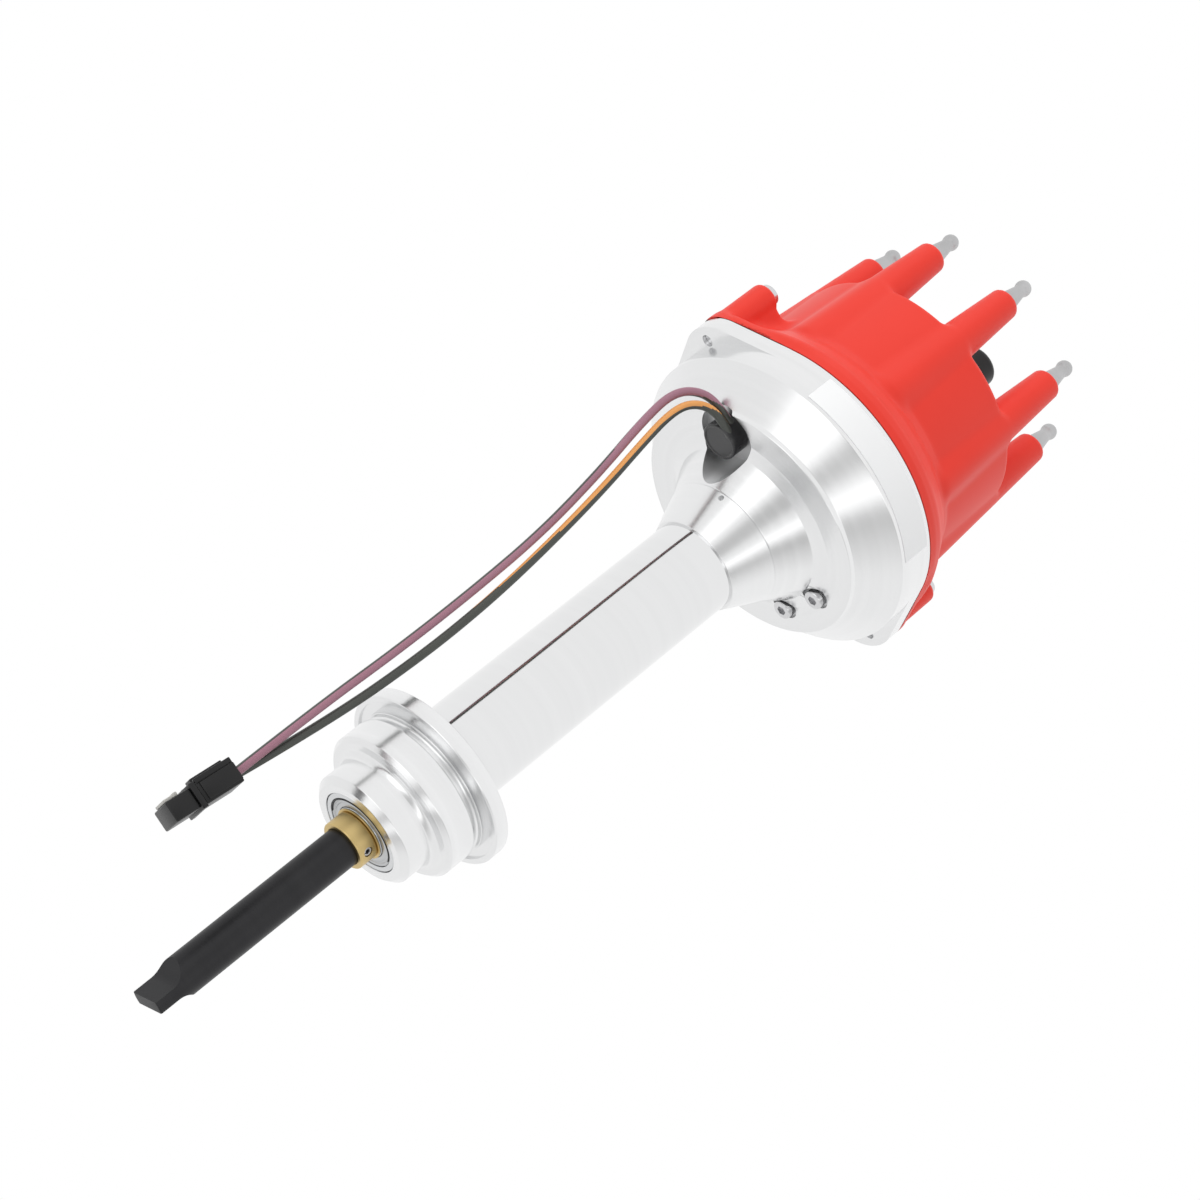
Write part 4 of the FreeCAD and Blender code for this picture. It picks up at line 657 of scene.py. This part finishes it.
def lug_outline(rim):
    """A screw lug that leaves the rim at a tangent and runs to its broad round end."""
    lean = math.degrees(math.asin((rim - LUG_RADIUS) / LUG_REACH))
    turns = np.linspace(-90 + lean, 90 - lean, 24)
    points = [polar(rim, -90 + lean)]
    points += [(LUG_REACH + polar(LUG_RADIUS, a)[0], polar(LUG_RADIUS, a)[1]) for a in turns]
    points.append(polar(rim, 90 - lean))
    points += [polar(LUG_INSIDE, a) for a in np.linspace(90 - lean, -90 + lean, 24)]
    return points


def make_bowl():
    """The turned bowl with its two lugs, the grommet's pocket and the notches for the pickup's screws."""
    bowl = lathe_mesh("bowl", [
        (18.05, 134.08), (22.5, 134.08), (22.72, 134.3, 0.12), (29.0, 145.08), (33.2, 147.0, 2.5),
        (43.0, 147.0, 0.3), (43.4, 148.6, 0.5), (53.2, 158.2, 1.0), (BOWL_RADIUS, 159.2, 0.6),
        (BOWL_RADIUS, LUG_TOP, 0.12), (53.0, LUG_TOP), (53.0, 173.15), (48.5, 173.15, 0.2), (48.5, 159.1),
        (43.4, 154.0), (20.0, 154.0), (20.0, 159.94), (14.35, 159.94), (14.35, 151.9), (9.0, 151.9),
        (9.0, 142.1), (18.05, 142.1)])
    lugs = [prism_mesh("lug", lug_outline(BOWL_RADIUS), LUG_BOTTOM, LUG_TOP, half) for half in (0, 180)]
    bowl = combined(bowl, lugs, "UNION")
    cuts = [prism_mesh("hole", circle(2.1, 40, SCREW_REACH * side), 160, 175) for side in (-1, 1)]
    x, y = polar(*GROMMET_SPOT)
    cuts.append(prism_mesh("pocket", circle(POCKET_RADIUS, 128, x, y), 126, 150))
    cuts.append(prism_mesh("way", circle(5.0, 64, x, y), 149, 158))
    for spot in PICKUP_SPOTS:
        x, y = polar(*spot)
        cuts.append(prism_mesh("notch", circle(NOTCH_RADIUS, 64, x, y), 134, 148.2))
    bowl = combined(bowl, cuts, "DIFFERENCE")
    piece = put(bowl, "bowl_turned", "housing", "machined_aluminium", "bowl_housing",
                looks=("machined_aluminium", "milled_aluminium"))
    mark_milled(piece)
    even_normals(piece)


def mark_milled(piece):
    """Gives the walls and floors of the pocket and the notches the milled metal."""
    milled = [(GROMMET_SPOT, POCKET_RADIUS)] + [(spot, NOTCH_RADIUS) for spot in PICKUP_SPOTS]
    for face in piece.data.polygons:
        height = face.center.z / MM
        for spot, radius in milled:
            x, y = polar(*spot)
            away = math.hypot(face.center.x / MM - x, face.center.y / MM - y)
            upright = abs(face.normal.z) < 0.05
            if away < radius + 0.1 and 134.2 < height < 150.1 and (away < 9.5 or upright):
                face.material_index = 1


def make_grommet():
    """The rubber plug that the wires leave by."""
    mesh = lathe_mesh("grommet", [
        (0, 143.5), (5.3, 143.5, 0.2), (5.7, 143.2, 0.2), (6.5, 143.2, 0.4), (6.5, 149.9), (4.9, 149.9),
        (4.9, 154.1), (6.5, 154.1), (6.1, 156.5), (0, 156.5)], False, 96, polar(*GROMMET_SPOT))
    even_normals(put(mesh, "grommet_rubber", "housing", "black_rubber", "wire_grommet"))


def screw_mesh(name, spot, seat, length, head_radius, head_height, way):
    """A socket-head screw: way is 1 for a head above its seat, and -1 for one below."""
    head, end, shank_radius = seat + head_height * way, seat - length * way, 2.0
    mesh = lathe_mesh(name, [
        (0, head), (head_radius, head, 0.5), (head_radius, seat), (shank_radius, seat),
        (shank_radius, end), (0, end)], False, 64, spot)
    low, high = sorted((head - 1.9 * way, head + 1.0 * way))
    socket = prism_mesh("socket", circle(1.75, 6, *spot), low, high)
    return combined(mesh, [socket], "DIFFERENCE")


def make_pickup_screws():
    """The two screws that hold the pickup, with their heads in the notches."""
    forms = []
    for spot in PICKUP_SPOTS:
        form = bmesh.new()
        form.from_mesh(screw_mesh("screw", polar(*spot), 148.2, 8.0, 3.4, 3.6, -1))
        forms.append(form)
    screws = finished(joined(forms), "screws")
    even_normals(put(screws, "screws_pickup", "housing", "bright_screw", "pickup_screws"))


def make_cap_screws():
    """The screw in each of the cap's lugs."""
    for name, node, side in (("screw_right", "cap_screw_right", 1), ("screw_left", "cap_screw_left", -1)):
        mesh = screw_mesh(name, (SCREW_REACH * side, 0), 196.2, 27.6, 3.7, 2.0, 1)
        even_normals(put(mesh, name, "housing", "bright_screw", node))


# Cap

CAP_BLEND = 2.2
CAP_VOXEL = 0.8
CAP_WALL_HEIGHTS = (170, 176.0, 179.2, 184.0, 187.6, 191.6, CAP_TOP)
CAP_WALL_RADII = (CAP_RADIUS, CAP_RADIUS, 53.3, 50.6, 48.0, 46.4, 45.7)

# How the rough mesh is drawn onto the field: rounds in all, those that also smooth it, the half length
# of the slope's probe, and the longest move of one round
FIT_ROUNDS = 14
SMOOTH_ROUNDS = 9
PROBE = 0.01
LONGEST_MOVE = 0.6


def soft_min(a, b, blend):
    """The lesser of two fields, with a round where they are nearly the same."""
    near = np.maximum(blend - np.abs(a - b), 0) / blend
    return np.minimum(a, b) - near * near * blend / 4


def soft_max(a, b, blend):
    """The greater of two fields, with a round where they are nearly the same."""
    return -soft_min(-a, -b, blend)


def lug_field(x, y, z):
    """How far points lie outside the cap's two lugs: each a plate, a screw boss and a web between."""
    lean = (CAP_RADIUS - LUG_RADIUS) / LUG_REACH
    rise = math.sqrt(1 - lean * lean)
    side_x, side_y = np.abs(x), np.abs(y)
    along = side_x * rise - side_y * lean
    rim = np.hypot(x, y) - CAP_RADIUS + np.clip(along * -0.25, 0, 3)
    end = np.hypot(side_x - LUG_REACH, side_y) - LUG_RADIUS
    flank = side_x * lean + side_y * rise - CAP_RADIUS
    plate = np.where(along < 0, rim, np.where(along > LUG_REACH * rise, end, flank))
    plate = soft_max(plate, z - CAP_LUG_TOP, 2.5)
    boss = soft_max(np.hypot(side_x - SCREW_REACH, side_y) - 5.2, z - BOSS_TOP, 1.6)
    web = soft_max(soft_max(side_y - 4.6, side_x - SCREW_REACH, 1.0), z - WEB_TOP, 2.0)
    return soft_min(plate, soft_min(boss, web, 1.0), 2.0)


def cap_field(points):
    """How far points lie outside the cap's moulded skin, about, in millimetres."""
    x, y, z = points.T
    radius = np.hypot(x, y)
    shell = soft_max(radius - np.interp(z, CAP_WALL_HEIGHTS, CAP_WALL_RADII), z - CAP_TOP, 1.8)
    turn = np.degrees(np.arctan2(y, x)) - TOWER_ANGLE
    turn = np.radians(turn - TOWER_STEP * np.round(turn / TOWER_STEP))
    away = np.hypot(radius * np.cos(turn) - TOWER_REACH, radius * np.sin(turn))
    tower = away - np.interp(z, [TOWER_FOOT, TOWER_END], [9.2, 5.4])
    tower = soft_max(soft_max(tower, z - TOWER_END, 1.3), TOWER_FOOT - z, 5.0)
    field = soft_min(shell, tower, CAP_BLEND)
    field = soft_min(field, lug_field(x, y, z), np.interp(z, [173.6, 178.0], [0.3, 4.0]))
    coil_x, coil_y = polar(*COIL_SPOT)
    away = np.hypot(x - coil_x, y - coil_y)
    stump = soft_max(away - STUMP_RADIUS, z - STUMP_TOP, 2.0)
    neck = soft_max(away - COIL_NECK_RADIUS, z - COIL_NECK_TOP, 1.0)
    return soft_min(field, soft_min(stump, neck, 1.5), 4.0)


def rough_cap():
    """An even mesh over simple solids that are near the cap's skin."""
    solids = [lathe_mesh("wall", [(0, 170), (CAP_RADIUS, 170), (CAP_RADIUS, 176), (47, 189), (46, CAP_TOP),
                                  (0, CAP_TOP)], False, 96)]
    for index in range(TOWER_COUNT):
        spot = polar(TOWER_REACH, TOWER_ANGLE + TOWER_STEP * index)
        solids.append(lathe_mesh("tower", [
            (0, 184.8), (8.9, 184.8), (5.4, TOWER_END), (0, TOWER_END)], False, 40, spot))
    solids.append(lathe_mesh("coil", [
        (0, 200), (STUMP_RADIUS, 200), (STUMP_RADIUS, STUMP_TOP), (COIL_NECK_RADIUS, STUMP_TOP),
        (COIL_NECK_RADIUS, COIL_NECK_TOP), (0, COIL_NECK_TOP)], False, 48, polar(*COIL_SPOT)))
    web = [(40, -4.8), (SCREW_REACH, -4.8), (SCREW_REACH, 4.8), (40, 4.8)]
    for half in (0, 180):
        solids.append(prism_mesh("plate", lug_outline(CAP_RADIUS), 170, CAP_LUG_TOP, half))
        solids.append(prism_mesh("boss", circle(5.5, 40, SCREW_REACH), 170, BOSS_TOP, half))
        solids.append(prism_mesh("web", web, 171, WEB_TOP, half))
    forms = []
    for solid in solids:
        form = bmesh.new()
        form.from_mesh(solid)
        forms.append(form)
    rough = as_tool(finished(joined(forms), "cap"))
    remesh = rough.modifiers.new("remesh", "REMESH")
    remesh.mode = "VOXEL"
    remesh.voxel_size = CAP_VOXEL * MM
    bpy.context.view_layer.update()
    mesh = bpy.data.meshes.new_from_object(rough.evaluated_get(bpy.context.evaluated_depsgraph_get()))
    bpy.data.objects.remove(rough)
    return mesh


def cap_skin():
    """A closed mesh of the cap's outside, with every vertex moved onto the field's own surface."""
    mesh = rough_cap()
    points = np.empty(len(mesh.vertices) * 3)
    mesh.vertices.foreach_get("co", points)
    points = points.reshape(-1, 3) / MM
    ends = np.empty(len(mesh.edges) * 2, int)
    mesh.edges.foreach_get("vertices", ends)
    ends = ends.reshape(-1, 2)
    count = np.bincount(ends.ravel(), minlength=len(points))[:, None]
    for step in range(FIT_ROUNDS):
        if step < SMOOTH_ROUNDS:
            total = np.zeros_like(points)
            np.add.at(total, ends[:, 0], points[ends[:, 1]])
            np.add.at(total, ends[:, 1], points[ends[:, 0]])
            points += 0.5 * (total / count - points)
        value = cap_field(points)
        slope = np.stack([(cap_field(points + shift) - cap_field(points - shift)) / (2 * PROBE)
                          for shift in np.eye(3) * PROBE], axis=1)
        move = slope * (value / np.maximum((slope ** 2).sum(1), 0.05))[:, None]
        points -= np.clip(move, -LONGEST_MOVE, LONGEST_MOVE)
    mesh.vertices.foreach_set("co", (points * MM).ravel())
    mesh.update()
    return mesh


def make_cap():
    """The moulded cap: the skin cut flat at the seam, with the chamber and the screw holes cut in it."""
    form = bmesh.new()
    form.from_mesh(cap_skin())
    seam = Vector((0, 0, SEAM_HEIGHT * MM))
    bmesh.ops.bisect_plane(form, geom=form.verts[:] + form.edges[:] + form.faces[:], plane_co=seam,
                           plane_no=(0, 0, -1), clear_outer=True)
    bmesh.ops.holes_fill(form, edges=[edge for edge in form.edges if edge.is_boundary])
    bmesh.ops.recalc_face_normals(form, faces=form.faces)
    skin = finished(form, "cap")
    cuts = [lathe_mesh("chamber", [
        (0, 170), (48.4, 170), (48.4, 173.6), (46.0, 176.8), (44.0, 188.4), (43.0, 220.8, 2.0),
        (0, 220.8)], False)]
    for side in (-1, 1):
        cuts.append(prism_mesh("hole", circle(2.15, 40, SCREW_REACH * side), 165, 205))
    put(combined(skin, cuts, "DIFFERENCE"), "cap_moulded", "housing", "red_plastic", "cap_shell")


def make_terminals():
    """A metal stud in each tower: a flange on the tower's top, a tapered neck and a ball."""
    ball_radius, ball_height = 2.85, 262.85
    ball = [(polar(ball_radius, a)[0], ball_height + polar(ball_radius, a)[1])
            for a in np.linspace(-32, 90, 14)]
    outline = [(0, 208.8), (2.5, 208.8, 0.3), (2.5, 220.6), (2.3, 220.6), (2.3, 252.9), (3.5, 252.9),
               (3.5, 254.2, 0.5), (2.35, 260.2, 1.5), *ball[:-1], (0, 265.7)]
    for index in range(TOWER_COUNT):
        spot = polar(TOWER_REACH, TOWER_ANGLE + TOWER_STEP * index)
        mesh = lathe_mesh("stud", outline, False, 56, spot)
        number = index + 1
        piece = put(mesh, f"stud_{number}", "housing", "terminal_metal", f"spark_terminal_{number}")
        even_normals(piece)


def make_coil_cover():
    """The black cover over the coil terminal."""
    mesh = lathe_mesh("cover", [
        (5.7, 238.1), (7.6, 238.1, 0.3), (7.6, 261.0, 2.4), (0, 261.0), (0, 254.0), (5.7, 254.0)],
                      False, 96, polar(*COIL_SPOT))
    even_normals(put(mesh, "cover_coil", "housing", "black_plastic", "coil_terminal_cover"))


# Decal

def make_decal():
    """A bare pale decal on the bowl's rim, with a narrow row of faces along each of its sides."""
    radius, low, high, margin = 54.26, 160.6, 171.4, 0.18
    angles = [-128, -128 + margin] + list(np.linspace(-127, -59, 69)) + [-58 - margin, -58]
    heights = [low, low + margin, high - margin, high]
    form = bmesh.new()
    columns = [[form.verts.new(Vector((*polar(radius, a), z)) * MM) for z in heights] for a in angles]
    for near, far in zip(columns, columns[1:]):
        for row in range(len(heights) - 1):
            form.faces.new((near[row], far[row], far[row + 1], near[row + 1]))
    bmesh.ops.recalc_face_normals(form, faces=form.faces)
    put(finished(form, "decal"), "decal_bare", "housing", "machined_aluminium", looks=("label",))


make_shaft()
make_collar()
make_lower_bearing()
make_snap_ring()
make_column()
make_bowl()
make_grommet()
make_pickup_screws()
make_cap_screws()
make_cap()
make_terminals()
make_coil_cover()
make_decal()

slots = {row["node"]: row["material_slot"] for row in frame["record"]["subparts"]}
for node, item in frame["nodes"].items():
    item.data.materials.clear()
    item.data.materials.append(MATERIALS[slots[node]])


# Room: a pale floor well below, soft lamps and a white background. Its lengths are in metres.

FLOOR_HEIGHT = -0.5
FLOOR_SIZE = 6.0
WORLD_LIGHT = 0.68
AIM = Vector((0, 0, 0.1))

# Name, place, size and watts
SOFT_LAMPS = (("key", (-1.1, -0.5, 0.9), 1.1, 8.6), ("top", (0.5, 0.0, 1.2), 1.3, 5.2))

# Name, angle, width and watts of the tall lamps beside the object, and their length, lean and foot
STRIP_LAMPS = (("strip_left", -137, 0.36, 0.5), ("strip_right", -67, 0.13, 0.2))
STRIP_LENGTH = 0.95
STRIP_LEAN = (0.788, 0.616)
STRIP_FOOT = (0.6, 0.16)

# Name, first and last angle, and each glowing panel's greys at shares of its width: painted reflections of
# dark boards
REFLECTION_PANELS = (("reflection_panel_front", -114, -84, (0, 0.2, 0.8, 1), (0.95, 0.58, 0.58, 0.95)),
         ("reflection_panel_right", -59, -8, (0, 0.2, 0.5, 1), (0.95, 0.5, 0.75, 0.97)))
PANEL_COLUMNS = 12
PANEL_PROFILE = ((0.12, -0.44), (0.55, -0.44), (0.95, -0.15), (0.95, 0.1))


def make_lamp(name, power, width, height):
    """A rectangular lamp that the camera doesn't see."""
    data = bpy.data.lights.new(name, "AREA")
    data.shape = "RECTANGLE"
    data.size = width
    data.size_y = height
    data.energy = power
    lamp = bpy.data.objects.new(name, data)
    bpy.context.scene.collection.objects.link(lamp)
    lamp.visible_camera = False
    return lamp


def make_reflection_panel(name, start, end, shares, greys):
    """A glowing panel on the floor and up beside the object, no lamp, seen only in glossy reflections: its
    set greys paint darker reflections for the metal to show.
    """
    form = bmesh.new()
    angles = np.linspace(start, end, PANEL_COLUMNS + 1)
    rows = [[form.verts.new((*polar(reach, angle), height)) for angle in angles]
            for reach, height in PANEL_PROFILE]
    shade_layer = form.loops.layers.float_color.new("shade")
    for low, high in zip(rows, rows[1:]):
        for column in range(PANEL_COLUMNS):
            face = form.faces.new((low[column], low[column + 1], high[column + 1], high[column]))
            for loop, edge in zip(face.loops, (column, column + 1, column + 1, column)):
                grey = np.interp(edge / PANEL_COLUMNS, shares, greys)
                loop[shade_layer] = (grey, grey, grey, 1)
    panel = as_tool(finished(form, name))
    # Painted reflection: the panel glows with its set greys and lights nothing.
    surface, tree = new_nodes(name)[:2]
    glow = add_node(tree, "ShaderNodeEmission",
                    Color=add_node(tree, "ShaderNodeVertexColor", {"layer_name": "shade"}).outputs[0])
    tree.links.new(glow.outputs[0], tree.nodes["Material Output"].inputs[0])
    panel.data.materials.append(surface)
    panel.visible_camera = False
    panel.visible_diffuse = False
    panel.visible_shadow = False


def make_floor():
    """The floor, which keeps the object's shadow and is white in the metal's reflections."""
    grid = bmesh.new()
    bmesh.ops.create_grid(grid, x_segments=1, y_segments=1, size=FLOOR_SIZE)
    sheet = as_tool(finished(grid, "floor"))
    sheet.location = (0, 0, FLOOR_HEIGHT)
    surface, tree, shader = new_nodes("floor")
    grey = noise(tree, add_node(tree, "ShaderNodeTexCoord").outputs["Object"], 3.0)
    tree.links.new(tint(tree, grey, (0.8, 0.8, 0.8), (0.84, 0.84, 0.84)), shader.inputs["Base Color"])
    shader.inputs["Roughness"].default_value = 0.8
    path = add_node(tree, "ShaderNodeLightPath")
    glow = add_node(tree, "ShaderNodeEmission", Color=(0.97, 0.97, 0.97, 1))
    both = add_node(tree, "ShaderNodeMixShader", i0=path.outputs["Is Glossy Ray"], i1=shader.outputs[0],
                    i2=glow.outputs[0])
    tree.links.new(both.outputs[0], tree.nodes["Material Output"].inputs[0])
    sheet.data.materials.append(surface)


def make_world():
    """Soft light from all round, behind a background that is plain white to camera and metal."""
    world = bpy.data.worlds.new("studio")
    world.use_nodes = True
    bpy.context.scene.world = world
    tree = world.node_tree
    tree.nodes.clear()
    path = add_node(tree, "ShaderNodeLightPath")
    seen = add_node(tree, "ShaderNodeMath", {"operation": "MAXIMUM"}, i0=path.outputs["Is Camera Ray"],
                    i1=path.outputs["Is Glossy Ray"])
    seen = add_node(tree, "ShaderNodeMath", {"operation": "MAXIMUM"}, i0=seen.outputs[0],
                    i1=path.outputs["Is Transmission Ray"])
    strength = spread(tree, seen.outputs[0], WORLD_LIGHT, 1.0)
    backdrop = add_node(tree, "ShaderNodeBackground", Color=(1, 1, 1, 1), Strength=strength)
    out = add_node(tree, "ShaderNodeOutputWorld")
    tree.links.new(backdrop.outputs[0], out.inputs[0])


def make_lamps():
    """Two broad lamps that metal doesn't mirror, and two strips that it does."""
    for name, place, size, power in SOFT_LAMPS:
        lamp = make_lamp(name, power, size, size)
        lamp.visible_glossy = False
        lamp.location = place
        lamp.rotation_euler = (AIM - Vector(place)).to_track_quat("-Z", "Y").to_euler()
    cosine, sine = STRIP_LEAN
    for name, angle, width, power in STRIP_LAMPS:
        lamp = make_lamp(name, power, width, STRIP_LENGTH)
        out, rise = Vector((*polar(1, angle), 0)), Vector((0, 0, 1))
        along = out * cosine + rise * sine
        facing = out * sine - rise * cosine
        spot = out * STRIP_FOOT[0] - rise * STRIP_FOOT[1]
        lamp.matrix_world = axes_matrix(along.cross(facing), along, facing, spot)


make_floor()
make_world()
make_lamps()
for panel_row in REFLECTION_PANELS:
    make_reflection_panel(*panel_row)
bpy.context.scene.view_settings.view_transform = "Standard"
